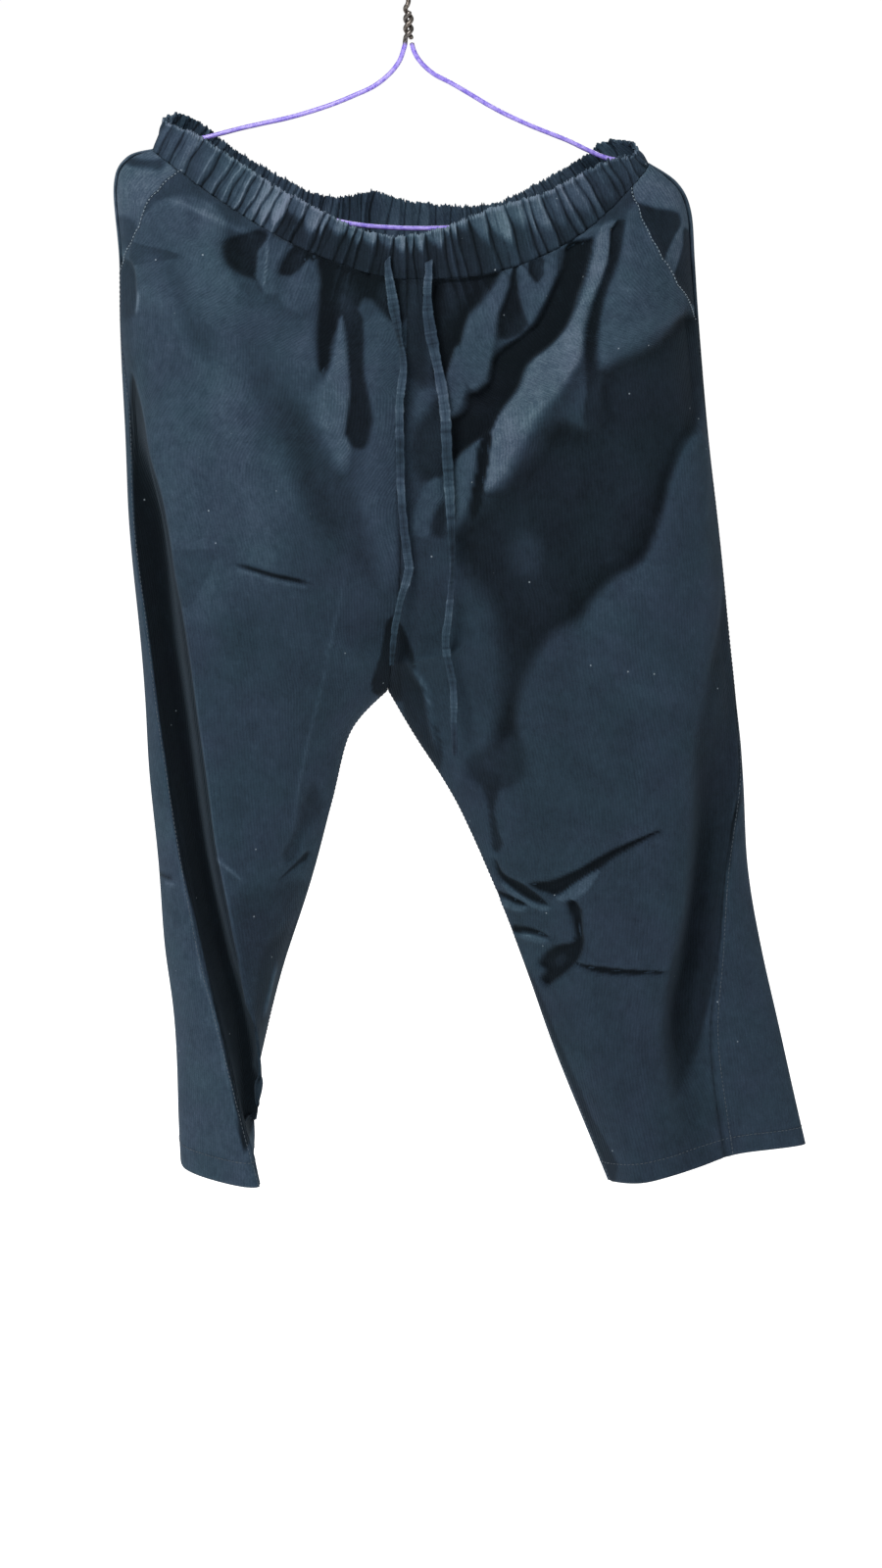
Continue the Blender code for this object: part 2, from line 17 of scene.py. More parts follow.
import bpy
import numpy as np
from bpy.types import ID, Material, Node, NodeSocket, NodeTree, Object
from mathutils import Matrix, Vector


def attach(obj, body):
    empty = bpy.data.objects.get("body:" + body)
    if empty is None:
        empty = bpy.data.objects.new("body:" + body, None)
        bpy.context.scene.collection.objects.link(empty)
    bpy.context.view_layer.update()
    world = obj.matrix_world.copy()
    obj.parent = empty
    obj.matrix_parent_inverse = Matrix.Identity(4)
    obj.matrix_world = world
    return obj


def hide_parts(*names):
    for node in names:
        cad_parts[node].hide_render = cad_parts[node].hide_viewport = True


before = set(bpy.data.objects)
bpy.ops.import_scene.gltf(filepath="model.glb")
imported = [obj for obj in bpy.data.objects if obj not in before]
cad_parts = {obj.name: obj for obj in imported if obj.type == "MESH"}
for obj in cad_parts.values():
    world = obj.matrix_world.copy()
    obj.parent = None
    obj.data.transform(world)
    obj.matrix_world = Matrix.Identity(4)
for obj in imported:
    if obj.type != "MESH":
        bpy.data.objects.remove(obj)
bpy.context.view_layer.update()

LOG = logging.getLogger("joggers")
BODY = "root"
MM = 0.001
CROTCH_ROW = 7
HEM_ROW = 13
SIDE_SEAM = 4
CENTRE_BACK = 8
# The thickness of the cloth.
CLOTH = 1.4
# Folds and patches are placed on the plane of sight, upright at this y, as they are seen from the eye.
SIGHT_Y = -50.0
EYE = (27.0, -2836.6, -121.05)
# How softly a patch ends at a corner that states nothing else, and how much softer its lift ends.
SHARP = 0.7
LIFT_SOFTER = 2.4
# The tone that both backs take by the centre seam.
SEAT_TONE = 0.34
# How far the cloth behind a pocket mouth lies under the surface, its thickness, and where it begins, as a
# share of the way round to the front's cut edge.
FACING_SUNK = 1.8
FACING_WALL = 1.1
FACING_START = 0.86
# How far the cut pieces keep clear of the waist seam, of each other's edges and of the other half.
WAIST_GAP = 0.03
EDGE_GAP = 0.02
HALVES_GAP = 0.01
# Far below any length here, so that nothing is divided by nothing.
TINY = 1e-9

Array = np.ndarray
Path = Sequence[tuple[float, float]]


class Section(NamedTuple):
    """One level of a half: depths under the hook, then points of the section round it."""

    front: float
    side: float
    back: float
    inner_x: float
    front_y: float
    back_y: float
    belly_y: float
    ridge_x: float
    ridge_y: float
    floor_x: float
    floor_y: float
    seam_x: float
    seam_y: float
    edge_x: float
    edge_y: float
    seat_y: float
    droop: float


RIGHT_HALF = (
    Section(288, 183, 266, -1, -38, 40, -36, -148, -26, -185, -16, -213, 0, -209, 12, 38, 1.6),
    Section(304, 190, 285, -1, -44, 43, -43, -163, -38, -204, -24, -235, 2, -236, 16, 44, 1.8),
    Section(328, 213, 309, -1, -48, 46, -52, -175, -48, -216, -28, -246, 2, -247, 16, 50, 1.7),
    Section(368, 272, 356, -3, -50, 48, -58, -183, -52, -221, -30, -243, 2, -244, 16, 58, 1.4),
    Section(421, 336, 419, -5, -48, 48, -60, -188, -54, -222, -34, -243, 4, -245, 18, 62, 1.2),
    Section(479, 410, 486, -7, -44, 46, -60, -218, -50, -229, -12, -236, 4, -243, 20, 62, 1.1),
    Section(547, 493, 558, -8, -36, 38, -60, -205, -52, -220, 6, -234, 0, -241, 20, 62, 1.0),
    Section(642, 586, 642, -19, 8, 8, -56, -189, -54, -211, 10, -224, -4, -234, 18, 60, 1.0),
    Section(678, 653, 678, -51, 6, 6, -52, -181, -54, -202, 12, -217, -8, -230, 18, 60, 1.0),
    Section(738, 721, 738, -67, 4, 4, -48, -173, -52, -193, 12, -207, -12, -227, 16, 62, 1.0),
    Section(811, 798, 811, -87, 0, 0, -44, -162, -50, -181, 12, -195, -18, -221, 14, 66, 1.0),
    Section(887, 870, 887, -111, 6, 6, -34, -146, -44, -166, 10, -181, -28, -216, 12, 70, 1.0),
    Section(970, 942, 970, -132, 24, 24, -10, -131, -26, -145, -4, -162, -40, -208, 8, 76, 1.0),
    Section(1064, 1072, 1064, -152, 60, 60, 28, -141, 4, -138, -26, -131, -50, -202, 0, 84, 1.0),
)
LEFT_HALF = (
    Section(288, 195, 266, -1, -38, 40, -36, 141, -26, 178, -16, 201, 0, 199, 12, 38, 2.8),
    Section(304, 211, 285, -1, -44, 43, -43, 161, -38, 200, -24, 224, 2, 225, 14, 44, 2.7),
    Section(328, 234, 309, -1, -48, 46, -50, 180, -50, 214, -30, 235, 2, 237, 14, 50, 2.5),
    Section(368, 278, 356, -3, -50, 48, -56, 193, -54, 222, -32, 239, 2, 241, 14, 58, 2.0),
    Section(421, 340, 419, -5, -48, 48, -58, 198, -52, 227, -32, 245, 4, 246, 16, 62, 1.5),
    Section(479, 418, 486, -7, -44, 46, -58, 207, -50, 237, -30, 253, 4, 254, 16, 62, 1.2),
    Section(547, 502, 558, -8, -36, 38, -56, 216, -48, 247, -30, 264, 4, 265, 16, 60, 1.0),
    Section(642, 587, 642, -19, 8, 8, -52, 226, -48, 256, -28, 274, 4, 274, 16, 58, 1.0),
    Section(680, 650, 680, 3, 8, 8, -50, 234, -46, 264, -26, 281, 2, 282, 16, 56, 1.0),
    Section(738, 718, 738, 39, 4, 4, -48, 238, -44, 262, -16, 285, -6, 289, 10, 54, 1.0),
    Section(816, 799, 816, 74, 0, 0, -46, 236, -42, 257, -8, 274, -14, 296, 12, 52, 1.0),
    Section(890, 873, 890, 102, -4, -4, -44, 226, -40, 247, -6, 269, -16, 309, 14, 50, 1.0),
    Section(968, 952, 968, 131, -12, -12, -42, 215, -40, 239, -14, 263, -20, 327, 18, 50, 1.0),
    Section(1078, 1056, 1078, 176, -20, -20, -45, 233, -42, 252, -34, 277, -22, 352, 22, 48, 1.0),
)


class Fold(NamedTuple):
    """A fold or crease of the cloth, seen from the front.

    path: points in the x-z plane, walked from the first to the last.
    widths: half widths on the walker's left and right.
    depth: how far it stands out along the surface, or in where it is negative.
    tone: how much painted highlight it lays along its line, or painted shade where negative, from 1 to -1.
    """

    path: Path
    widths: tuple[float, float]
    depth: float
    tone: float


class Patch(NamedTuple):
    """An area of the front that a fold turns to the light or away from it.

    outline: its corners in the plane of sight, as x, z and how softly the edge ends there, if not SHARP.
    tone: its painted light and shade, from 0, darkest, to 1, palest.
    lift: how far its cloth stands out, or in where it is negative.
    """

    outline: tuple[tuple[float, ...], ...]
    tone: float
    lift: float


# Each patch of either half paints light or shade on the front as a tone, and most lift or sink the cloth
# too.
RIGHT_PATCHES = (
    # The side of the front that faces the light, down to the knee.
    Patch(((-215, -269, 7.2), (-151, -299, 14.5), (-87, -324, 14.5), (-71, -380, 14.5), (-96, -478, 21.7),
        (-146, -561, 21.7), (-190, -578, 2.3), (-207, -466, 2.3), (-226, -380, 2.3)), 0.44, 0),
    # The knee and below, out of the light.
    Patch(((-156, -821, 5.8), (-131, -804, 10.1), (-84, -799, 3.5), (-95, -873, 1.7), (-114, -926, 1.7),
        (-136, -935, 1.7), (-145, -885, 1.2), (-152, -843, 1.2)), 0.22, 0),
    # The painted shade under the slack middle of the waistband.
    Patch(((-97, -259, 1.2), (-58, -263, 1.2), (-5, -269, 1.2), (-5, -324, 2.3), (-15, -320, 2.9),
        (-36, -302, 1.7), (-44, -314, 1.7), (-52, -317, 1.2), (-58, -324, 1.7), (-70, -314, 1.7),
        (-73, -296, 1.2), (-73, -273, 0.9), (-87, -273, 1.2), (-94, -280, 1.2),
        (-102, -266, 1.2)), 0.07, -3),
    # Soft dents in the thigh, with painted shade in them.
    Patch(((-136, -360, 10.1), (-103, -372, 10.1), (-91, -413, 10.1), (-120, -423, 10.1),
        (-138, -388, 10.1)), 0.42, -1.5),
    Patch(((-103, -384, 10.1), (-67, -413, 10.1), (-45, -462, 10.1), (-22, -512, 10.1), (-13, -545, 10.1),
        (-37, -536, 10.1), (-67, -495, 10.1), (-96, -437, 10.1)), 0.29, -2.5),
    Patch(((-32, -478, 5.8), (-11, -466, 1.7), (-9, -516, 1.7), (-20, -520, 5.8),
        (-31, -503, 5.8)), 0.16, -2),
    # Lit cloth between the pocket and the first hollow.
    Patch(((-207, -224, 1.7), (-178, -219, 1.7), (-149, -239, 1.7), (-152, -269, 2.3), (-138, -299, 6.5),
        (-172, -324, 8.7), (-222, -299, 2.3), (-225, -294, 1.2)), 0.48, 1.5),
    # The first hollow, in painted shade, with a sharp edge towards the middle.
    Patch(((-152, -257, 1.4), (-138, -251, 1.2), (-117, -249), (-116, -259), (-121, -296),
        (-125, -289, 1.2), (-137, -284, 1.7), (-150, -275, 1.7)), 0.12, -5),
    # Scallops under the waistband.
    Patch(((-115, -253), (-105, -254, 1.2), (-95, -261, 1.2), (-102, -272, 0.9), (-107, -283, 0.9),
        (-107, -299, 1.7), (-119, -299, 1.2)), 0.45, 3),
    Patch(((-105, -285, 0.9), (-97, -285, 0.9), (-87, -274, 0.9), (-73, -273), (-70, -279, 0.9),
        (-73, -296, 1.4), (-81, -311, 2.3), (-95, -314, 3.5), (-106, -303, 2.3)), 0.44, 2),
    Patch(((-101, -269, 0.9), (-94, -261, 1.2), (-84, -266, 1.2), (-97, -284, 0.9),
        (-106, -283, 0.9)), 0.12, -3),
    # The lit cloth beside the ties.
    Patch(((-44, -324, 3.5), (-30, -317, 3.5), (-7, -327, 2.9), (-3, -380, 2.9), (-3, -478, 3.5),
        (-8, -536, 5.8), (-18, -545, 7.2), (-31, -512, 8.7), (-40, -462, 8), (-40, -413, 5.8)), 0.43, 0),
    # The pleat and the dark band beside it, in painted shade, and the lit triangle between them.
    Patch(((-73, -269, 1.2), (-57, -269, 1.2), (-55, -317), (-64, -342), (-67, -361, 0.9), (-71, -365, 1.2),
        (-75, -348, 1.7), (-74, -316, 1.4), (-71, -296, 1.4)), 0.07, -5),
    Patch(((-55, -316), (-51, -334), (-47, -380), (-47, -425, 1.7), (-55, -446, 6.5), (-71, -421, 10.1),
        (-79, -384, 8.7), (-68, -367, 1.4), (-62, -349)), 0.55, 3),
    Patch(((-54, -299, 1.2), (-46, -304, 1.2), (-37, -364, 1.4), (-33, -421, 2.3), (-38, -428, 2.3),
        (-47, -426, 1.7), (-48, -380), (-51, -333)), 0.12, -3),
    # The long groove between the front and the side seam, painted black as its shadow.
    Patch(((-230, -366, 1.2), (-223, -392), (-217, -433), (-208, -466), (-202, -503), (-198, -536),
        (-193, -561), (-185, -615), (-179, -664), (-173, -712), (-167, -765), (-160, -804), (-149, -864),
        (-135, -927, 0.9), (-124, -939, 1.7), (-121, -965), (-133, -1010), (-144, -1041, 1.2),
        (-153, -991, 0.9), (-169, -907, 0.9), (-184, -831, 0.9), (-197, -778, 0.9), (-207, -696, 0.9),
        (-220, -581, 0.9), (-229, -512, 1.2), (-231, -446, 1.2), (-232, -396, 1.2)), 0.0, -3),
    # Hollows at the knee, in painted shade.
    Patch(((-80, -713, 3.5), (-96, -752, 2.9), (-106, -782, 0.9), (-104, -783, 0.9), (-89, -756, 2.9),
        (-72, -726, 3.5)), 0.25, -2),
    Patch(((-85, -773), (-98, -784), (-112, -798), (-98, -787), (-85, -775)), 0.1, -2),
    Patch(((-94, -829, 3.5), (-81, -801, 1.7), (-93, -873, 0.9), (-112, -926, 0.9), (-126, -978, 0.9),
        (-133, -974, 1.2), (-132, -930, 2.3), (-132, -891, 3.5), (-125, -860, 3.5),
        (-110, -843, 3.5)), 0.15, -1),
    # The small fold at the side, under the pocket.
    Patch(((-243, -269, 0.9), (-228, -274, 1.2), (-225, -295, 0.9), (-228, -317, 2.3),
        (-242, -320, 2.3)), 0.28, -2),
)
LEFT_PATCHES = (
    # The side panel below the dark folds.
    Patch(((243, -413, 1.2), (234, -423, 1.2), (226, -438, 1.2), (209, -492, 1.2), (198, -515, 1.7),
        (157, -555, 3.5), (143, -612, 14.5), (235, -645, 14.5), (257, -578, 5.8),
        (251, -495, 3.5)), 0.35, 2),
    # The great fold that falls from the pocket to the knee, in painted shade.
    Patch(((159, -364, 8.7), (198, -340, 10.1), (222, -314, 8.7), (239, -317, 2.9), (245, -380, 2.9),
        (242, -411, 1.2), (234, -422, 1.2), (226, -438, 1.2), (209, -495, 1.7), (198, -521, 2.3),
        (171, -538, 3.5), (157, -552, 4.1), (143, -571, 5.8), (125, -581, 5.8), (111, -598, 6.5),
        (93, -633, 7.2), (89, -658, 6.5), (90, -688, 6.5), (79, -709, 5.8), (72, -688, 6.5),
        (78, -629, 11.6), (75, -595, 13), (68, -561, 13), (58, -545, 14.5), (43, -524, 11.6),
        (39, -502, 7.2), (60, -474, 14.5), (101, -437, 10.1), (125, -405, 8.7), (148, -410, 5.8)), 0.1, -7),
    Patch(((86, -505, 8.7), (105, -500, 8.7), (112, -521, 8.7), (99, -535, 8.7), (85, -526, 8.7)), 0.2, -6),
    # The deep valley from the top of the pocket down to the fly, in painted shade.
    Patch(((136, -250, 0.9), (128, -279, 1.2), (116, -299, 1.4), (104, -324, 1.4), (68, -354, 1.2),
        (57, -379, 0.9), (50, -382, 1.2), (47, -395, 1.2), (37, -400, 2.3), (29, -400, 2.3),
        (25, -408, 2.3), (25, -449, 2.3), (29, -449, 1.2), (37, -437, 0.9), (47, -428, 0.9),
        (60, -421, 0.9), (92, -376), (99, -358), (120, -340), (132, -325), (140, -299),
        (158, -248, 0.9)), 0.05, -8),
    # The long lit ridge beside it.
    Patch(((158, -243), (151, -269), (132, -325), (120, -340), (99, -358), (92, -376), (74, -401),
        (69, -414), (64, -443), (62, -463, 1.2), (75, -460, 5.8), (88, -440, 6.5), (96, -422, 6.5),
        (109, -403, 6.5), (134, -369, 3.5), (145, -349, 1.7), (147, -325, 1.2), (164, -275, 1.2),
        (171, -239, 1.2)), 0.62, 6),
    # The narrow band of painted shade between the ridge and the pocket.
    Patch(((172, -239), (165, -275), (148, -325), (148, -380, 0.9), (149, -411, 2.3), (158, -411, 2.9),
        (159, -380, 1.7), (158, -324, 1.7), (162, -303, 1.7), (172, -274, 1.7),
        (179, -239, 1.2)), 0.09, -2),
    # The pocket's front, facing the light.
    Patch(((179, -237, 1.2), (181, -229, 1.2), (190, -223, 1.2), (200, -245, 1.2), (221, -285, 1.2),
        (231, -303, 3.5), (207, -336, 10.1), (181, -348, 10.1), (160, -359, 5.8), (159, -324, 1.2),
        (163, -303, 1.2), (173, -274, 1.2)), 0.47, 2),
    # Folds under the waistband.
    Patch(((89, -269), (91, -274), (74, -326, 0.9), (56, -379, 0.9), (51, -377, 0.9), (50, -317, 0.9),
        (61, -307, 1.7), (80, -279, 1.2)), 0.46, 4),
    Patch(((92, -263, 0.9), (96, -269, 0.9), (94, -332, 1.4), (76, -336, 1.4), (74, -326, 0.9),
        (84, -294, 0.9)), 0.1, -4),
    Patch(((96, -269, 0.9), (109, -267, 0.9), (121, -256, 0.9), (122, -283, 1.4), (112, -309, 1.2),
        (100, -324, 2.3), (96, -316, 1.4)), 0.42, 2),
    Patch(((103, -266), (108, -266), (107, -290, 0.9), (105, -290, 0.9)), 0.1, -3),
    Patch(((109, -269, 0.9), (121, -255, 0.9), (148, -245, 0.9), (157, -244, 0.9), (154, -253, 1.2),
        (136, -257, 1.7), (123, -264, 1.2)), 0.44, 2),
    # Folds beside the fly.
    Patch(((-4, -271, 2.3), (16, -272, 1.7), (20, -309, 1.7), (16, -340, 2.3), (13, -374, 5.8),
        (1, -368, 5.8), (-4, -307, 2.9)), 0.13, -1),
    Patch(((16, -271, 1.7), (51, -271, 1.2), (80, -266, 1.2), (76, -283, 1.7), (61, -303, 2.3),
        (50, -316, 1.2), (43, -340, 0.9), (29, -373, 0.9), (25, -374, 1.2), (21, -348, 1.7),
        (19, -307, 1.7)), 0.07, -5),
    Patch(((42, -341), (45, -352), (45, -390, 0.9), (40, -398, 1.7), (29, -401, 2.9), (25, -382, 2.3),
        (29, -373, 0.9)), 0.44, 3),
    Patch(((9, -380, 2.3), (24, -377, 1.7), (24, -408, 2.9), (10, -408, 2.9)), 0.42, 1),
    Patch(((61, -419), (57, -446), (52, -470, 1.2), (44, -488, 2.9), (37, -497, 2.9), (35, -462, 1.2),
        (37, -444, 0.9), (47, -429)), 0.46, 4),
    Patch(((61, -419), (66, -412), (62, -464, 0.9), (57, -483, 1.7), (52, -491, 2.3), (52, -470, 0.9),
        (57, -446)), 0.02, -4),
    Patch(((29, -383, 3.5), (16, -396, 5.8), (6, -414, 6.5), (6, -444, 6.5), (16, -456, 3.5),
        (27, -452, 1.7), (29, -413, 1.7)), 0.16, -2),
    Patch(((25, -451, 1.7), (29, -470, 1.7), (20, -483, 1.2), (16, -501, 1.2), (4, -500, 2.3),
        (6, -478, 2.3), (12, -460, 2.3)), 0.44, 1.5),
    Patch(((29, -472, 2.3), (22, -484, 2.3), (20, -499, 2.9), (27, -503, 2.9), (32, -487, 2.3)), 0.15, -2),
    # The hollow that closes above the knee, in painted shade.
    Patch(((50, -692, 5.8), (69, -681, 7.2), (88, -671, 5.8), (98, -690, 5.8), (99, -703, 5.8),
        (75, -718, 2.3), (62, -714, 2.3), (50, -705, 3.5)), 0.18, -2),
    Patch(((60, -703, 2.3), (75, -704, 2.3), (72, -737, 1.2), (76, -773), (74, -773), (70, -754, 0.9),
        (67, -730, 1.2)), 0.1, -1.5),
    # The long fall down the outer side, in painted shade.
    Patch(((267, -524, 1.2), (263, -578, 2.9), (253, -629, 5.8), (245, -679, 5.8), (244, -730, 5.8),
        (243, -788, 5.8), (234, -846, 4.1), (225, -879, 4.1), (223, -905, 7.2), (228, -965, 10.1),
        (233, -985, 9.4), (242, -967, 5.8), (255, -921, 1.7), (267, -854, 1.2), (271, -804, 0.9),
        (273, -763, 0.9), (277, -730, 0.9), (282, -712), (279, -662), (273, -587)), 0.16, -3),
    # Creases at the knee, with painted shade in them and painted light beside them.
    Patch(((216, -754), (177, -770), (131, -795), (119, -799, 0.9), (102, -801), (125, -811),
        (173, -779)), 0.02, -5),
    Patch(((126, -813), (134, -806), (163, -788), (143, -815, 1.2), (133, -817, 0.9)), 0.52, 2),
    Patch(((73, -779), (79, -791), (98, -802), (117, -819), (106, -816), (85, -802), (76, -793)), 0.03, -3),
    Patch(((78, -799), (109, -819), (120, -822), (118, -824), (107, -822), (84, -808)), 0.5, 1.5),
    Patch(((73, -807), (93, -815), (101, -820), (91, -818), (79, -812)), 0.03, -3),
    Patch(((79, -814), (91, -819), (102, -822), (98, -825), (86, -823), (78, -818)), 0.5, 1.5),
    Patch(((86, -840), (109, -842), (121, -849), (98, -844), (88, -843)), 0.03, -3),
    Patch(((89, -844), (100, -845), (110, -848), (121, -852), (96, -850, 1.2)), 0.42, 1.5),
    Patch(((136, -815, 0.9), (142, -817), (148, -844), (149, -856), (145, -867), (125, -886), (117, -891),
        (112, -886), (116, -878, 0.9), (110, -872, 1.2), (115, -864, 1.2), (125, -856, 0.9), (141, -852),
        (142, -843)), 0.04, -6),
    Patch(((122, -869, 1.4), (131, -864, 1.4), (133, -869, 1.4), (125, -876, 1.4)), 0.16, -6),
    Patch(((141, -871), (155, -874), (222, -880), (188, -882), (170, -881), (155, -878)), 0.02, -4),
    # The inner edge, turned away from the light.
    Patch(((86, -851, 1.7), (107, -886, 1.7), (125, -930, 1.7), (158, -1010, 1.7), (179, -1068, 1.7),
        (166, -1073, 1.7), (141, -1010, 2.3), (112, -935, 2.3), (95, -891, 2.3)), 0.12, 0),
)
CROTCH_PATCHES = (
    # Painted shadow between the legs, where the back shows behind the crotch.
    Patch(((-14, -568, 1.2), (-5, -578, 1.2), (-3, -642, 0.9), (-31, -634, 0.9),
        (-24, -602, 1.2)), 0.02, 0),
    Patch(((-4, -602), (13, -633), (19, -651), (28, -692, 0.9), (26, -701, 1.2), (-2, -661, 0.9)), 0.08, 0),
)
# Creases and lit edges that are only a line wide, with painted shade in the creases and painted light on the
# edges.
RIGHT_FOLDS = (
    Fold(((-207, -222), (-187, -224), (-158, -238), (-121, -256)), (2.5, 2.5), 1.5, 0.14),
    Fold(((-222, -294), (-226, -318)), (2, 2), 1, 0.3),
    Fold(((-189, -578), (-184, -615), (-178, -664), (-172, -712), (-166, -765), (-159, -804), (-154, -827),
        (-147, -864), (-139, -903)), (1.2, 1.2), 0.2, 0.12),
    Fold(((-49, -512), (-58, -553), (-73, -623), (-84, -668), (-95, -718),
        (-104, -780)), (1.6, 1.3), 0.6, 0.12),
    Fold(((-151, -523), (-114, -534), (-78, -542)), (1.8, 1.8), -2.2, -0.4),
    Fold(((-151, -527), (-114, -538), (-78, -546)), (2, 2), 1.0, 0.12),
    Fold(((-169, -776), (-152, -790), (-141, -800)), (1.8, 1.8), 1.4, 0.2),
    Fold(((-112, -866), (-119, -893), (-127, -923)), (1.8, 1.8), 1.0, 0.35),
    Fold(((-220, -790), (-202, -797)), (1.8, 1.8), -1.5, -0.35),
    Fold(((-212, -799), (-200, -803)), (2, 2), 1, 0.2),
    # The painted highlight along the edge of the side panel, a long soft dent under the pocket, and the
    # first hollow's edge.
    Fold(((-203, -715), (-203, -731), (-199, -762), (-194, -803), (-188, -827), (-184, -850), (-181, -878),
        (-170, -914), (-159, -973), (-146, -1030)), (1.2, 1.2), 0.5, 0.16),
    Fold(((-209, -240), (-197, -278), (-176, -332), (-159, -366)), (13, 9), -2, -0.08),
    Fold(((-115, -252), (-117, -274), (-120, -299)), (1.0, 1.0), 1.0, 0.28),
    # Broad soft drapes down the thigh.
    Fold(((-146, -299), (-118, -380), (-86, -462), (-55, -536)), (16, 11), -1.5, -0.08),
    Fold(((-179, -324), (-151, -405), (-124, -495), (-112, -578)), (20, 14), 1.5, 0.05),
    # The centre seam beside the tie, with painted shade along it.
    Fold(((-9, -384), (-9, -440), (-8, -500), (-8, -556)), (1.2, 1.2), -1.2, -0.34),
)
LEFT_FOLDS = (
    Fold(((-5, -603), (14, -629), (19, -659), (25, -690)), (2.2, 2.2), 2.5, 0.28),
    Fold(((285, -713), (276, -750), (273, -798)), (2, 2), -2, -0.25),
    Fold(((264, -452), (270, -488)), (4, 4), 1, 0.14),
    Fold(((92, -844), (110, -847), (122, -852)), (1.8, 1.8), 1.2, 0.2),
)
# The back hangs in soft drapes from the seat, seen from the front as the rest is,
# with painted shade in their hollows and a little painted light on their crests.
BACK_FOLDS = (
    Fold(((12, -590), (46, -520), (96, -440), (140, -380)), (12, 18), 4, 0.05),
    Fold(((18, -604), (70, -556), (130, -516)), (9, 14), -3, -0.06),
    Fold(((-6, -588), (-34, -516), (-76, -430), (-116, -360)), (16, 12), 4, 0.05),
    Fold(((-14, -602), (-64, -548), (-118, -512)), (12, 9), -3, -0.06),
    Fold(((130, -640), (170, -760), (206, -900), (228, -1010)), (16, 12), 3.5, 0.04),
    Fold(((92, -700), (138, -700), (178, -716)), (7, 9), -2, -0.05),
    Fold(((168, -880), (206, -862), (262, -868)), (9, 6), -2, -0.05),
    Fold(((-104, -640), (-132, -760), (-160, -900), (-182, -1020)), (14, 12), 3.5, 0.04),
    Fold(((-116, -826), (-146, -822), (-176, -800)), (6, 8), -2, -0.05),
)

# The slanted pocket mouths: at each level s, the coordinate t of the front's cut edge.
RIGHT_POCKET = ((0.0, 3.2), (1.1, 3.08), (2.3, 3.14), (2.65, 3.36), (3.0, 3.75), (3.2, 4.0))
LEFT_POCKET = (
    (0.0, 3.3), (0.5, 3.06), (0.9, 2.87), (1.7, 2.71), (2.35, 2.73), (3.05, 3.02), (3.5, 3.55), (3.8, 4.0),
)

# Top edge of the waistband, from the centre front to the wearer's right, round the back and on: x, y, z.
BAND_TOP = (
    (-1, -36, -252), (-36, -37, -248), (-69, -36, -233), (-106, -33, -214), (-146, -26, -189),
    (-176, -17, -170), (-198, -4, -162), (-204, 7, -158), (-192, 17, -154), (-178, 24, -160),
    (-151, 32, -181), (-109, 38, -206), (-77, 40, -221), (-54, 41, -223), (-28, 41, -219), (-6, 41, -226),
    (19, 41, -229), (48, 40, -231), (75, 39, -228), (102, 35, -215), (146, 27, -191), (168, 18, -176),
    (184, 12, -178), (191, 4, -183), (186, -7, -188), (172, -16, -190), (150, -24, -199), (111, -31, -218),
    (71, -35, -229), (30, -36, -245),
)

# The hanger: neck and right half of the frame, then the left half, as x and z.
ARM_RIGHT = ((-3, -98), (-7, -110), (-22, -127), (-50, -141), (-95, -156), (-136, -165), (-172, -174))
END_RIGHT = ((-196, -179), (-206.9, -182), (-206.9, -189), (-191, -195))
BAR = ((-129, -219), (-90, -234), (-51, -244), (-6, -248), (42, -247), (80, -241), (117, -231), (160, -216))
END_LEFT = ((176, -208), (193, -204), (197.2, -197.5), (186, -194))
ARM_LEFT = ((168, -191), (133, -176), (100, -163), (76, -152), (43, -133), (11, -113), (5, -104), (2.6, -96))

# The ties' free runs: x, y, z.
TIE_RIGHT = (
    (-17, -40.2, -272), (-17, -43.5, -273), (-17, -45.6, -277), (-15, -49, -291), (-12, -53, -310),
    (-8, -57, -330), (-4, -60, -356), (-7, -60, -385), (-7, -59, -425), (-6, -56, -468), (-2, -52, -510),
    (0, -49, -528), (-7, -45, -555), (-12, -42, -580), (-15, -41, -612),
)
TIE_LEFT = (
    (17, -40.2, -274), (17, -43.5, -275), (17, -45.8, -279), (16, -49.5, -293), (16, -54, -312),
    (20, -58, -338), (25, -61, -362), (30, -62, -392), (32, -62, -430), (35, -61, -480), (36, -60, -527),
    (34, -57, -561), (31, -55, -592), (37, -54, -625), (38, -53, -660), (39, -52, -688),
)


# How wide each tie is and how far it is twisted, down its run: the share of the run, millimetres, degrees.
TIE_RIGHT_TURNS = (
    (0, 6, 50), (0.06, 7.6, 18), (0.1, 9, 0), (0.15, 8.4, 15), (0.2, 7, 62), (0.25, 7, 40), (0.3, 7, 14),
    (0.45, 7.4, -14), (0.6, 7, 20), (0.77, 8, 0), (0.84, 6.6, -38), (0.92, 6, -20), (1, 5, -48),
)
TIE_LEFT_TURNS = (
    (0, 6.6, 25), (0.08, 7.4, 8), (0.13, 10, 0), (0.17, 10, 8), (0.2, 8, 24), (0.24, 9, 6), (0.45, 9, -8),
    (0.56, 7.6, -40), (0.61, 7, -64), (0.68, 7, -34), (0.82, 7, 28), (0.92, 6, 10), (1, 5, 42),
)


class Side(Enum):
    """The wearer's side."""

    RIGHT = "right"
    LEFT = "left"


def spaced(parts: Sequence[tuple[float, float, int]]) -> Array:
    """Joins evenly spaced spans that share their ends.

    Args:
        parts: The start, end and count of steps of each span.

    Returns:
        The coordinates of all spans in one row.
    """
    values = [np.linspace(a, b, n, endpoint=False) for a, b, n in parts]
    return np.concatenate(values + [np.array([parts[-1][1]])])


def unit(vectors: Array) -> Array:
    """Scales vectors to a length of 1."""
    return vectors / (np.linalg.norm(vectors, axis=-1, keepdims=True) + TINY)


def run_along(points: Array) -> Array:
    """Measures how far along a line each of its points lies."""
    return np.concatenate([[0], np.cumsum(np.linalg.norm(np.diff(points, axis=0), axis=-1))])


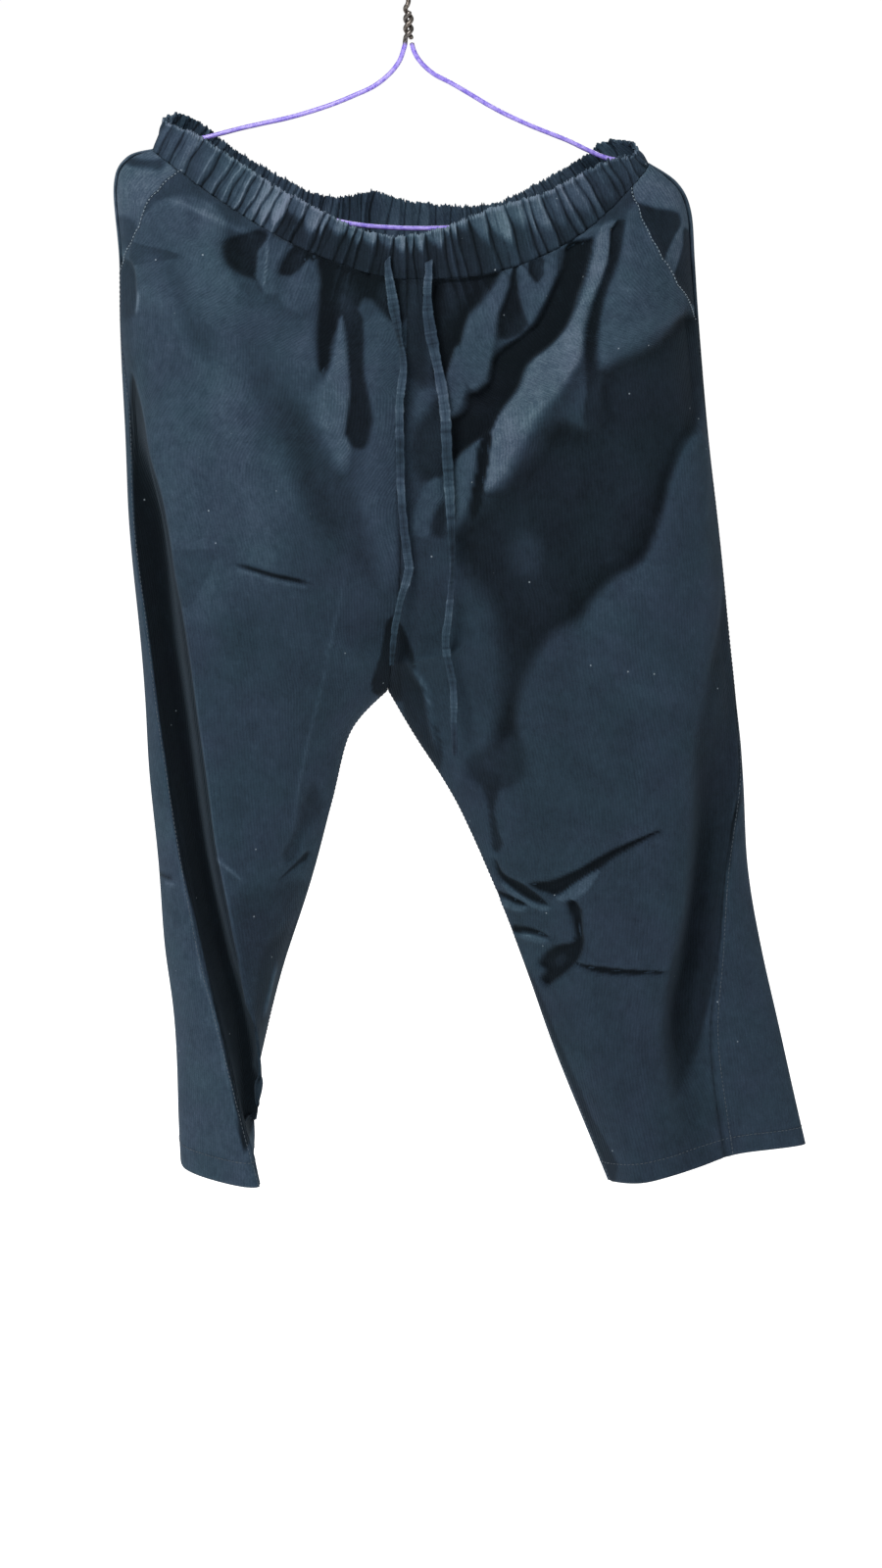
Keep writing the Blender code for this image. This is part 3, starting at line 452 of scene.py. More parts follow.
def cubic(
    start: Array, leave: Array, end: Array, meet: Array, amount: Array
) -> Array:
    """Blends from start to end, with the slopes leave and meet at them, by an amount from 0 to 1."""
    a = np.asarray(amount)[..., None]
    return (
        (2 * a**3 - 3 * a**2 + 1) * start
        + (a**3 - 2 * a**2 + a) * leave
        + (3 * a**2 - 2 * a**3) * end
        + (a**3 - a**2) * meet
    )


def hermite(
    before: Array, start: Array, end: Array, after: Array, amount: Array
) -> Array:
    """Runs a smooth curve from start to end, in line with the points on either side.

    Args:
        before: The points before start.
        start: Where it leaves.
        end: Where it arrives.
        after: The points after end.
        amount: How far along, from 0 to 1.

    Returns:
        The points of the curve.
    """
    gap_before, gap, gap_after = (
        np.linalg.norm(b - a, axis=-1, keepdims=True) + 1e-6
        for a, b in ((before, start), (start, end), (end, after))
    )
    slope = (end - start) / gap
    leave = (gap * (start - before) / gap_before + gap_before * slope) / (gap + gap_before)
    meet = (gap_after * slope + gap * (after - end) / gap_after) / (gap + gap_after)
    return cubic(start, gap * leave, end, gap * meet, amount)


def smooth_path(points: Sequence[Sequence[float]], count: int) -> Array:
    """Runs a smooth open curve through points.

    Args:
        points: The points that it passes through.
        count: How many points to return.

    Returns:
        Count points along the curve, in the same units.
    """
    nodes = np.array(points, float)
    u = np.linspace(0, len(nodes) - 1, count)
    low = np.minimum(u.astype(int), len(nodes) - 2)
    before = np.maximum(low - 1, 0)
    after = np.minimum(low + 2, len(nodes) - 1)
    return hermite(nodes[before], nodes[low], nodes[low + 1], nodes[after], u - low)


def closed_curve(nodes: Array, steps: int) -> Array:
    """Rounds off a closed outline.

    Args:
        nodes: The corners of the outline.
        steps: How many points to return for each corner.

    Returns:
        The points of the curve.
    """
    n = len(nodes)
    u = np.arange(steps * n) / steps
    at = u.astype(int)
    return hermite(nodes[at - 1], nodes[at], nodes[(at + 1) % n], nodes[(at + 2) % n], u - at)


def evenly(points: Array, count: int) -> Array:
    """Spaces points evenly along a line.

    Args:
        points: The points of the line.
        count: How many points to return.

    Returns:
        Count points in three dimensions, from its start to one step before its end.
    """
    run = run_along(points)
    at = np.linspace(0, run[-1], count, endpoint=False)
    return np.stack([np.interp(at, run, points[:, k]) for k in range(3)], -1)


def bell(value: Array, middle: Array | float, width: Array | float) -> Array:
    """Swells to 1 at middle and dies away over width on both sides."""
    return np.exp(-(((value - middle) / width) ** 2))


def smoothstep(low: float, high: float, value: Array) -> Array:
    """Eases from 0 at low to 1 at high."""
    a = np.clip((value - low) / (high - low), 0, 1)
    return a * a * (3 - 2 * a)


def sighted(points: Array) -> tuple[Array, Array]:
    """Finds where points are seen on the plane of sight, as x and z."""
    share = (SIGHT_Y - EYE[1]) / (points[..., 1] - EYE[1])
    return EYE[0] + (points[..., 0] - EYE[0]) * share, EYE[2] + (points[..., 2] - EYE[2]) * share


def cover(patch: Patch, x: Array, z: Array) -> tuple[Array, Array]:
    """Finds how far a patch covers points of the plane of sight.

    Args:
        patch: The patch, whose outline is rounded off between its corners.
        x: Where the points are across.
        z: How high the points are.

    Returns:
        The cover from 0 to 1, once for its tone and once, with softer edges, for its lift.
    """
    nodes = np.array([(*corner, SHARP)[:3] for corner in patch.outline], float)
    round_it = closed_curve(nodes, 3)
    reach = nodes[:, 2].max() + 6
    low, high = nodes[:, :2].min(0) - reach, nodes[:, :2].max(0) + reach
    near = (x > low[0]) & (x < high[0]) & (z > low[1]) & (z < high[1])
    px, pz = x[near], z[near]
    best = np.full(px.shape, 1e9)
    soft = np.ones(px.shape)
    inside = np.zeros(px.shape, bool)
    for (x0, z0, s0), (x1, z1, s1) in zip(round_it, np.roll(round_it, -1, 0)):
        dx, dz = x1 - x0, z1 - z0
        a = np.clip(((px - x0) * dx + (pz - z0) * dz) / (dx * dx + dz * dz + TINY), 0, 1)
        d = np.hypot(px - x0 - a * dx, pz - z0 - a * dz)
        nearer = d < best
        best = np.where(nearer, d, best)
        soft = np.where(nearer, s0 + a * (s1 - s0), soft)
        inside ^= ((z0 > pz) != (z1 > pz)) & (px < x0 + (pz - z0) * dx / (dz if abs(dz) > TINY else TINY))
    signed = np.where(inside, best, -best)
    tight, loose = np.zeros(x.shape), np.zeros(x.shape)
    tight[near] = smoothstep(-1, 1, signed / soft)
    loose[near] = smoothstep(-1, 1, signed / (soft + LIFT_SOFTER))
    return tight, loose


def lay_patches(
    patches: Sequence[Patch], x: Array, z: Array, tone: Array
) -> tuple[Array, Array]:
    """Lays patches one over the other.

    Args:
        patches: The patches, from the lowest to the topmost.
        x: Where the points are across.
        z: How high the points are.
        tone: The tone under the patches.

    Returns:
        The tone at each point, and how far its cloth is lifted.
    """
    lift = np.zeros(x.shape)
    for patch in patches:
        tight, loose = cover(patch, x, z)
        tone = tone + tight * (patch.tone - tone)
        lift = lift + loose * (patch.lift - lift)
    return tone, lift


def fold_field(folds: Sequence[Fold], x: Array, z: Array) -> tuple[Array, Array]:
    """Adds up what folds do at points of the front.

    Args:
        folds: The folds.
        x: Where the points are across.
        z: How high the points are.

    Returns:
        The push out along the surface in millimetres, and the painted light and shade that they lay on the
        cloth.
    """
    depth = np.zeros(x.shape)
    tone = np.zeros(x.shape)
    for fold in folds:
        nodes = np.array(fold.path, float)
        run = run_along(nodes)
        best = np.full(x.shape, 1e9)
        along = np.zeros(x.shape)
        left = np.zeros(x.shape, bool)
        for (x0, z0), (dx, dz), start, length in zip(nodes, np.diff(nodes, axis=0), run, np.diff(run)):
            a = np.clip(((x - x0) * dx + (z - z0) * dz) / length**2, 0, 1)
            off_x, off_z = x - x0 - a * dx, z - z0 - a * dz
            d = np.hypot(off_x, off_z)
            nearer = d < best
            along = np.where(nearer, (start + a * length) / run[-1], along)
            left = np.where(nearer, dx * off_z - dz * off_x > 0, left)
            best = np.minimum(best, d)
        width = np.where(left, fold.widths[0], fold.widths[1])
        swell = smoothstep(0, 0.25, along) * smoothstep(1, 0.75, along)
        shape = swell * bell(best, 0, width)
        depth += fold.depth * shape
        tone += fold.tone * shape
    return depth, tone


@dataclass(frozen=True)
class Gathers:
    """The uneven gathers that the elastic draws into the cloth round the waist."""

    count: int = 84
    depth: float = 4.4
    seed: int = 7

    def profile(self, place: Array, share: Array) -> tuple[Array, ...]:
        """Finds the shape and the nap of the gathers.

        Args:
            place: How far round the waist, from 0 at the centre front through the wearer's right side to 1.
            share: How far up the casing, from 0 at its seam to 1 at its top.

        Returns:
            The push out in millimetres, the painted light and shade that the gathers add to the tone outside
            and inside the casing, and how far the painted lit top of each crest reaches down, from 0 to 1.
        """
        random = np.random.default_rng(self.seed)
        widths = random.uniform(0.45, 1.75, self.count)
        bounds = np.concatenate([[0], np.cumsum(widths)]) / widths.sum()
        ranges = ((0.5, 1), (0.1, 1), (0.2, 0.42))
        crowns, edges, crests = (random.uniform(a, b, self.count) for a, b in ranges)
        shades, turns, reaches = (random.uniform(-1, 1, self.count) for _ in range(3))
        sway = 0.0006 * np.sin(place * 160 + 5 * share) + 0.0004 * np.sin(place * 420 - 8 * share)
        place = (place + sway) % 1.0
        number = np.clip(np.searchsorted(bounds, place, side="right") - 1, 0, self.count - 1)
        u = (place - bounds[number]) / (bounds[number + 1] - bounds[number])
        wide, crest = widths[number], crests[number]
        # A steep lit side, a crest, a flat facet and a narrow dark valley.
        rise, fall = np.clip(u / crest, 0, 1), np.clip((1 - u) / (1 - crest), 0, 1)
        hump = np.minimum(np.sin(rise * math.pi / 2) ** 0.8, np.sin(fall * math.pi / 2) ** 0.7)
        size = np.minimum(1, 0.45 + 0.45 * wide) * crowns[number]
        size = size * (1 + 0.2 * turns[number] * np.sin(4 * share))
        split = bell(u, crest + 0.33, 0.07 / wide) * (turns[number] > 0.1) * (wide > 0.9)
        height = self.depth * (hump * size - 0.5) - 0.9 * split
        valley_shade = bell(np.minimum(u, 1 - u), 0, 0.1 / wide)
        edge = bell(u, crest * 0.9, 0.06 / wide) * edges[number]
        # Painted light on the facets and along the crests' edges, painted shade in the valleys and splits,
        # outside and inside.
        facet_light = 0.15 * shades[number] + 0.22 * (0.45 - u)
        outer_light_and_shade = facet_light + 0.28 * edge - 0.4 * valley_shade - 0.16 * split
        inside = 0.12 * shades[number] - 0.4 * bell(u, 0.5, 0.07 / wide) + 0.1 * turns[number]
        return height, outer_light_and_shade, inside, hump * (0.6 + 0.4 * reaches[number])


GATHERS = Gathers()


@dataclass(frozen=True)
class Half:
    """One half of the garment as a wrapped surface with its folds and its pocket mouth."""

    side: Side
    rows: tuple[Section, ...]
    folds: tuple[Fold, ...]
    patches: tuple[Patch, ...]
    pocket: tuple[tuple[float, float], ...]
    # The tone of the front and of the back where no patch lies; the halves differ by painted light.
    front_tone: float
    back_tone: float

    @property
    def turn(self) -> float:
        """1 for the half at the viewer's left and -1 for the other, which runs round the opposite way."""
        return 1.0 if self.side is Side.RIGHT else -1.0

    def at(self, s: Array) -> Array:
        """Reads the table of sections at any level.

        Args:
            s: The levels.

        Returns:
            One row of section numbers for each level, smooth between the table's rows.
        """
        rows = np.array(self.rows, float)
        last = len(rows) - 1
        s = np.clip(np.asarray(s, float), 0, last)
        low = np.minimum(s.astype(int), last - 1)

        start, end = rows[low], rows[low + 1]

        def smooth(first: int, final: int) -> Array:
            """Runs a cubic between rows, with slopes taken only inside rows first to final."""
            before, after = (rows[np.clip(low + k, first, final)] for k in (-1, 2))
            return cubic(start, (end - before) / 2, end, (after - start) / 2, s - low)

        found = smooth(0, last)
        cornered = np.where((low < CROTCH_ROW)[..., None], smooth(0, CROTCH_ROW), smooth(CROTCH_ROW, last))
        for name in ("front", "back", "inner_x", "front_y", "back_y"):
            column = Section._fields.index(name)
            found[..., column] = cornered[..., column]
        return found

    def controls(self, s: Array) -> Array:
        """Finds the nine points that a section passes through.

        Args:
            s: The levels.

        Returns:
            The points of each level in order round it, from the centre front to the centre back.
        """
        c = dict(zip(Section._fields, np.moveaxis(self.at(s), -1, 0)))
        # The belly lies halfway to the ridge, and the seat's points between the side and the centre.
        belly_x = c["inner_x"] + 0.5 * (c["ridge_x"] - c["inner_x"])
        seat_out = c["edge_x"] + 0.16 * (c["inner_x"] - c["edge_x"])
        seat_in = c["edge_x"] + 0.6 * (c["inner_x"] - c["edge_x"])

        def depth(x: Array, near: Array) -> Array:
            """The height of the level at x, which bends down between the centre and the side seam."""
            across = (x - c["inner_x"]) / (c["seam_x"] - c["inner_x"])
            return -(near + (c["side"] - near) * np.clip(across, 0, 1) ** c["droop"])

        points = (
            (c["inner_x"], c["front_y"], -c["front"]),
            (belly_x, c["belly_y"], depth(belly_x, c["front"])),
            (c["ridge_x"], c["ridge_y"], depth(c["ridge_x"], c["front"])),
            (c["floor_x"], c["floor_y"], depth(c["floor_x"], c["front"])),
            (c["seam_x"], c["seam_y"], -c["side"]),
            (c["edge_x"], c["edge_y"], -c["side"]),
            (seat_out, 0.8 * c["seat_y"] + 0.2 * c["edge_y"], depth(seat_out, c["back"])),
            (seat_in, c["seat_y"], depth(seat_in, c["back"])),
            (c["inner_x"], c["back_y"], -c["back"]),
        )
        return np.stack([np.stack(p, -1) for p in points], -2)

    def on_own_side(self, s: Array, points: Array, gap: float) -> Array:
        """Keeps points clear of the plane that the two halves share, down to the crotch.

        Args:
            s: The levels of the points.
            points: The points.
            gap: How far they keep away from it.

        Returns:
            The points, moved where they have to be.
        """
        limit = self.at(s)[..., Section._fields.index("inner_x")] * self.turn - gap
        # Under the crotch the legs part, and the limit falls away by 60 for each level.
        limit = limit + 60 * np.clip(s - CROTCH_ROW, 0, HEM_ROW)
        x = np.minimum(points[..., 0] * self.turn, limit) * self.turn
        return np.concatenate([x[..., None], points[..., 1:]], -1)

    def smooth(self, s: Array, t: Array) -> Array:
        """Finds the half's surface before its folds.

        Args:
            s: The levels.
            t: The coordinates round the half.

        Returns:
            The points in millimetres.
        """
        s, t = np.broadcast_arrays(np.asarray(s, float), np.asarray(t, float))
        points = self.controls(s)
        # The curve runs on past the centre into its mirror image, and round the leg under the crotch.
        leg = np.clip(s - CROTCH_ROW + 1, 0, 1)[..., None]
        mirrored_front = points[..., 1, :] * [-1, 1, 1] + points[..., 0, :] * [2, 0, 0]
        mirrored_back = points[..., 7, :] * [-1, 1, 1] + points[..., 8, :] * [2, 0, 0]
        before = mirrored_front + leg * (points[..., 7, :] - mirrored_front)
        after = mirrored_back + leg * (points[..., 1, :] - mirrored_back)
        points = np.concatenate([before[..., None, :], points, after[..., None, :]], -2)
        low = np.clip(t.astype(int), 0, CENTRE_BACK - 1)
        chosen = [np.take_along_axis(points, (low + k)[..., None, None], -2)[..., 0, :] for k in range(4)]
        return self.on_own_side(s, hermite(*chosen, t - low), 0)

    def outward(self, s: Array, t: Array) -> Array:
        """Finds the level direction that points out of the cloth.

        Args:
            s: The levels.
            t: The coordinates round the half.

        Returns:
            The directions, each with a length of 1.
        """
        step = 0.02
        ahead = self.smooth(s, np.minimum(t + step, CENTRE_BACK))
        round_it = ahead - self.smooth(s, np.maximum(t - step, 0))
        out = np.stack([-round_it[..., 1], round_it[..., 0], np.zeros(t.shape)], -1)
        return unit(out) * self.turn

    def pocket_edge(self, s: Array) -> Array:
        """The coordinate t of the front's cut edge at levels s, which is the side seam under the pocket."""
        levels, edges = np.array(self.pocket).T
        return np.interp(s, levels, edges)

    def pleats(self, x: Array, s: Array, t: Array) -> Array:
        """Finds the soft pleats that the gathered waist leaves in the cloth under it.

        Args:
            x: Where the points are across.
            s: The levels.
            t: The coordinates round the half.

        Returns:
            The push out in millimetres.
        """
        away = np.clip((abs(t - SIDE_SEAM) - 0.7) / 0.8, 0, 1)
        wave = np.sin(x / 5.3 + 1.1 * np.sin(x / 31)) + 0.6 * np.sin(x / 8.9 + 2)
        return 1.1 * away * wave * bell(s, 0.7, 1.0)

    def waist_place(self, t: Array) -> Array:
        """Finds how far round the waist the cloth lies.

        Args:
            t: The coordinates round the half.

        Returns:
            The places, as Gathers counts them.
        """
        dense = np.linspace(0, CENTRE_BACK, 240)
        run = run_along(self.smooth(np.zeros(240), dense))
        share = np.interp(t, dense, run / run[-1])
        return 0.5 * share if self.side is Side.RIGHT else 1 - 0.5 * share

    def gathered(self, s: Array, t: Array, x: Array) -> tuple[Array, Array]:
        """Carries the gathers of the waistband on into the cloth under it.

        Args:
            s: The levels.
            t: The coordinates round the half.
            x: Where the points are across.

        Returns:
            The push out in millimetres, and the painted light and shade that it adds to the tone.
        """
        height, tone, _, _ = GATHERS.profile(self.waist_place(t), np.zeros(t.shape))
        # By the pockets the cloth is stretched smooth over the hanger.
        front = smoothstep(-132, -104, x) * smoothstep(128, 104, x)
        where = np.where(t < SIDE_SEAM, front, np.clip((t - SIDE_SEAM - 0.6) / 0.5, 0, 1))
        fade = np.exp(-np.interp(s, (0, 1, 2, 3, 4), (0, 16, 40, 80, 140)) / 13)
        return 0.7 * height * where * fade, 0.55 * tone * where * fade

    def surface(self, s: Array, t: Array) -> tuple[Array, Array]:
        """Finds the folded cloth.

        Args:
            s: The levels.
            t: The coordinates round the half.

        Returns:
            The points in millimetres, and the painted light and shade at each, as a tone.
        """
        s, t = np.broadcast_arrays(np.asarray(s, float), np.asarray(t, float))
        points = self.smooth(s, t)
        out = self.outward(s, t)
        x, z = sighted(points)
        seen = np.where(t <= SIDE_SEAM, 1.0, smoothstep(0.02, 0.25, -out[..., 1]) * (t < 6))
        by_facing = smoothstep(3.2, 2.6, s) * smoothstep(5.4, 5.0, t)
        behind = self.back_tone + (SEAT_TONE - self.back_tone) * smoothstep(5, 6.4, t)
        base = np.where(t <= SIDE_SEAM, self.front_tone, behind + 0.25 * by_facing)
        laid, lift = lay_patches(self.patches, x, z, base)
        depth, line = fold_field(self.folds, x, z)
        back_depth, back_light_and_shade = fold_field(BACK_FOLDS, points[..., 0], points[..., 2])
        seat = smoothstep(5.2, 6.2, t) * np.clip((CENTRE_BACK - t) / 0.3, 0, 1)
        front = (t < SIDE_SEAM).astype(float)
        edges = np.clip(t / 0.12, 0, 1) * np.clip((SIDE_SEAM - t) / 0.4, 0, 1) * np.clip(s / 0.3, 0, 1)
        ends = np.clip(t / 0.2, 0, 1) * np.clip((CENTRE_BACK - t) / 0.2, 0, 1)
        pleats = self.pleats(points[..., 0], s, t)
        gathers, gather_light_and_shade = self.gathered(s, t, points[..., 0])
        push = front * (depth + lift) * edges + seat * back_depth + pleats * ends + gathers * ends
        x, z = points[..., 0], points[..., 2]
        ease = np.sin(x / 17 + z / 61) * np.sin(z / 43 - x / 29) + 0.5 * np.sin(x / 9 + z / 23)
        push += 0.5 * ease * np.clip(s / 1.0, 0, 1) * ends * np.clip(abs(t - SIDE_SEAM) / 0.3, 0, 1)
        # The tone paints light and shade: the patches' and folds' lit and shaded cloth, the back's drapes, a
        # little light on the pleats' crests and the gathers' lit facets and shaded valleys.
        tone = base + seen * (laid + line - base) + seat * back_light_and_shade + 0.03 * pleats + gather_light_and_shade
        return points + out * push[..., None], tone


def levels_by_length(half: Half, first: float, last: float, count: int, even: float = 1.0) -> Array:
    """Levels s spaced down the cloth.

    Args:
        half: The half that they belong to.
        first: The first level.
        last: The last level.
        count: How many to return.
        even: How wide the first step is next to the mean one, from 0 to 1. The steps widen down the cloth.

    Returns:
        The levels in order.
    """
    s = np.linspace(first, last, 400)
    row = half.at(s)
    down = 0.5 * (row[:, 0] + row[:, 1])
    share = np.linspace(0, 1, count)
    share = share * (even + (1 - even) * share)
    return np.interp(down[0] + share * (down[-1] - down[0]), down, s)


class Coat(Enum):
    """Which finish a length of wire has."""

    COATED = "coated_wire"
    BARE = "bare_wire"


def linear(colour: str) -> tuple[float, float, float, float]:
    """Turns an sRGB hex colour to linear light.

    Args:
        colour: Six hex digits after a #.

    Returns:
        Red, green, blue and alpha.
    """
    parts = [int(colour[k : k + 2], 16) / 255 for k in (1, 3, 5)]
    r, g, b = (c / 12.92 if c <= 0.04045 else ((c + 0.055) / 1.055) ** 2.4 for c in parts)
    return r, g, b, 1.0


def add_node(
    tree: NodeTree, kind: str, links: dict[Any, Any] | None = None, **settings: Any
) -> Node:
    """Adds a node with its settings and its links.

    Args:
        tree: The tree that gets the node.
        kind: The node's class.
        links: For each input, by name or number, the output that feeds it or the value that it holds.
        settings: The node's own settings, by name.

    Returns:
        The node.
    """
    node = tree.nodes.new(kind)
    for key, value in settings.items():
        setattr(node, key, value)
    for key, value in (links or {}).items():
        if isinstance(value, NodeSocket):
            tree.links.new(value, node.inputs[key])
        else:
            node.inputs[key].default_value = value
    return node


def new_material(name: str) -> tuple[Material, NodeTree]:
    """Makes an empty node material.

    Args:
        name: The material's name.

    Returns:
        The material and its tree.
    """
    material = bpy.data.materials.new(name)
    material.use_nodes = True
    material.node_tree.nodes.clear()
    return material, material.node_tree


def set_ramp(node: Node, stops: Sequence[tuple[float, str]]) -> None:
    """Gives a colour ramp its stops.

    Args:
        node: The ramp.
        stops: Its places and their sRGB hex colours, from the lowest.
    """
    ramp = node.color_ramp
    while len(ramp.elements) < len(stops):
        ramp.elements.new(0.5)
    for element, (place, colour) in zip(ramp.elements, stops):
        element.position = place
        element.color = linear(colour)


@dataclass(frozen=True)
class Corduroy:
    """Fine-wale cotton corduroy, cut into ribs and brushed: matt, with painted shade and highlight on its
    folds.
    """

    name: str = "navy_corduroy"
    # The ramp that the tone picks from, from the darkest painted shadow to the palest painted highlight.
    painted_shadow: str = "#0d1318"
    deep: str = "#1f2933"
    shade: str = "#2e3d4b"
    middle: str = "#3e4f5e"
    pale: str = "#536472"
    painted_highlight: str = "#6b7b8b"
    lint: str = "#b4c2cc"
    # A fine wale is 1.6 mm. It is drawn wider, because the real one is under two pixels of the render.
    wale_mm: float = 2.7
    pile_mm: float = 1.5
    patch_mm: float = 30.0
    mottle_mm: float = 8.0
    streak_mm: float = 2.4
    # Added to the tone, to keep the darkest painted shade above nothing. The ramp's stops are moved up by
    # it.
    least: float = 0.135
    roughness: float = 0.92
    sheen: float = 0.12

    def material(self) -> Material:
        """Builds the cloth's material, its wales on the grain map, the rest on Object coordinates and its
        painted shade from tone.

        Returns:
            The material.
        """
        material, tree = new_material(self.name)
        grain = add_node(tree, "ShaderNodeUVMap", uv_map="grain").outputs["UV"]
        place = add_node(tree, "ShaderNodeTexCoord").outputs["Object"]
        tone = add_node(tree, "ShaderNodeAttribute", attribute_name="tone").outputs["Fac"]
        bands = {"Vector": grain, "Distortion": 0.5, "Detail": 2.0, "Detail Scale": 0.6}
        # At a scale of 1, a wave texture's bands are a tenth of pi apart.
        bands["Scale"] = 0.31416 / (self.wale_mm * MM)
        run = {"wave_type": "BANDS", "bands_direction": "X", "wave_profile": "SIN"}
        wale = add_node(tree, "ShaderNodeTexWave", bands, **run).outputs["Fac"]
        # The nap is brushed along the wales, so its streaks are three times as long as wide.
        brushed = add_node(
            tree, "ShaderNodeVectorMath", {0: grain, 1: (1.0, 0.3, 1.0)}, operation="MULTIPLY"
        ).outputs[0]
        # Each layer of unevenness: what it lies on, its size, detail and roughness, and how much it adds.
        layers = (
            (place, self.patch_mm, 4.0, 0.62, 0.26),
            (place, self.mottle_mm, 3.0, 0.65, 0.24),
            (brushed, self.streak_mm, 2.0, 0.6, 0.2),
            (place, self.pile_mm, 2.0, 0.7, 0.34),
        )
        textures = []
        for vector, size, detail, roughness, amount in layers:
            grit = {"Vector": vector, "Scale": 1 / (size * MM), "Detail": detail, "Roughness": roughness}
            textures.append((add_node(tree, "ShaderNodeTexNoise", grit).outputs["Fac"], amount))
        textures.append((wale, 0.05))
        total: Any = -0.5 * sum(amount for _, amount in textures)
        for texture, amount in textures:
            total = add_node(
                tree, "ShaderNodeMath", {0: texture, 1: amount, 2: total}, operation="MULTIPLY_ADD"
            ).outputs[0]
        # Where the tone's painted shade is dark, the speckle shows less.
        speckle_by_shade = add_node(
            tree, "ShaderNodeMapRange", {"Value": tone, "From Max": 0.5, "To Min": 0.4, "To Max": 1.0}
        ).outputs["Result"]
        speckled = add_node(
            tree, "ShaderNodeMath", {0: total, 1: speckle_by_shade, 2: self.least}, operation="MULTIPLY_ADD"
        ).outputs[0]
        level = add_node(
            tree, "ShaderNodeMath", {0: tone, 1: speckled}, operation="ADD", use_clamp=True
        ).outputs[0]
        ramp = add_node(tree, "ShaderNodeValToRGB", {"Fac": level})
        shades = (self.painted_shadow, self.deep, self.shade, self.middle, self.pale, self.painted_highlight)
        set_ramp(ramp, tuple(zip((self.least, 0.335, 0.555, 0.735, 0.86, 1.0), shades)))
        drift = add_node(
            tree, "ShaderNodeTexNoise", {"Vector": place, "Scale": 16.0, "Detail": 3.0, "Roughness": 0.6}
        ).outputs["Fac"]
        tint = add_node(tree, "ShaderNodeValToRGB", {"Fac": drift})
        set_ramp(tint, ((0.36, "#f1f8f5"), (0.64, "#fdf5fa")))
        dyes = {"Factor": 1.0, 6: ramp.outputs["Color"], 7: tint.outputs["Color"]}
        dyed = add_node(tree, "ShaderNodeMix", dyes, data_type="RGBA", blend_type="MULTIPLY").outputs[2]
        cells = add_node(
            tree, "ShaderNodeTexVoronoi", {"Vector": place, "Scale": 42.0}, voronoi_dimensions="3D"
        ).outputs["Distance"]
        specks = {"Value": cells, "From Min": 0.02, "From Max": 0.036, "To Min": 0.5, "To Max": 0.0}
        speck = add_node(tree, "ShaderNodeMapRange", specks).outputs["Result"]
        colour = add_node(
            tree, "ShaderNodeMix", {"Factor": speck, 6: dyed, 7: linear(self.lint)}, data_type="RGBA"
        ).outputs[2]
        pile = textures[3][0]
        height = add_node(
            tree, "ShaderNodeMath", {0: pile, 1: 0.55, 2: wale}, operation="MULTIPLY_ADD"
        ).outputs[0]
        bump = add_node(
            tree, "ShaderNodeBump", {"Height": height, "Strength": 0.55, "Distance": 0.0005}
        ).outputs["Normal"]
        shader = add_node(tree, "ShaderNodeBsdfPrincipled", {
            "Base Color": colour, "Normal": bump, "Roughness": self.roughness, "IOR": 1.14,
            "Specular IOR Level": 0.5, "Sheen Weight": self.sheen, "Sheen Roughness": 0.55,
            "Sheen Tint": linear("#8fa6ba"),
        })
        add_node(tree, "ShaderNodeOutputMaterial", {"Surface": shader.outputs["BSDF"]})
        return material


@dataclass(frozen=True)
class Thread:
    """Spun polyester sewing thread: a soft satin line a little paler than the cloth."""

    name: str = "navy_thread"
    colour: str = "#46535e"
    dull: str = "#333f49"
    roughness: float = 0.6

    def material(self) -> Material:
        """Builds the thread's material, with a twist too fine to model.

        Returns:
            The material.
        """
        material, tree = new_material(self.name)
        place = add_node(tree, "ShaderNodeTexCoord").outputs["Object"]
        fibre = add_node(tree, "ShaderNodeTexNoise", {"Vector": place, "Scale": 2500.0, "Detail": 1.0})
        ramp = add_node(tree, "ShaderNodeValToRGB", {"Fac": fibre.outputs["Fac"]})
        set_ramp(ramp, ((0.3, self.dull), (0.7, self.colour)))
        shader = add_node(tree, "ShaderNodeBsdfPrincipled", {
            "Base Color": ramp.outputs["Color"], "Roughness": self.roughness, "Sheen Weight": 0.2,
        })
        add_node(tree, "ShaderNodeOutputMaterial", {"Surface": shader.outputs["BSDF"]})
        return material


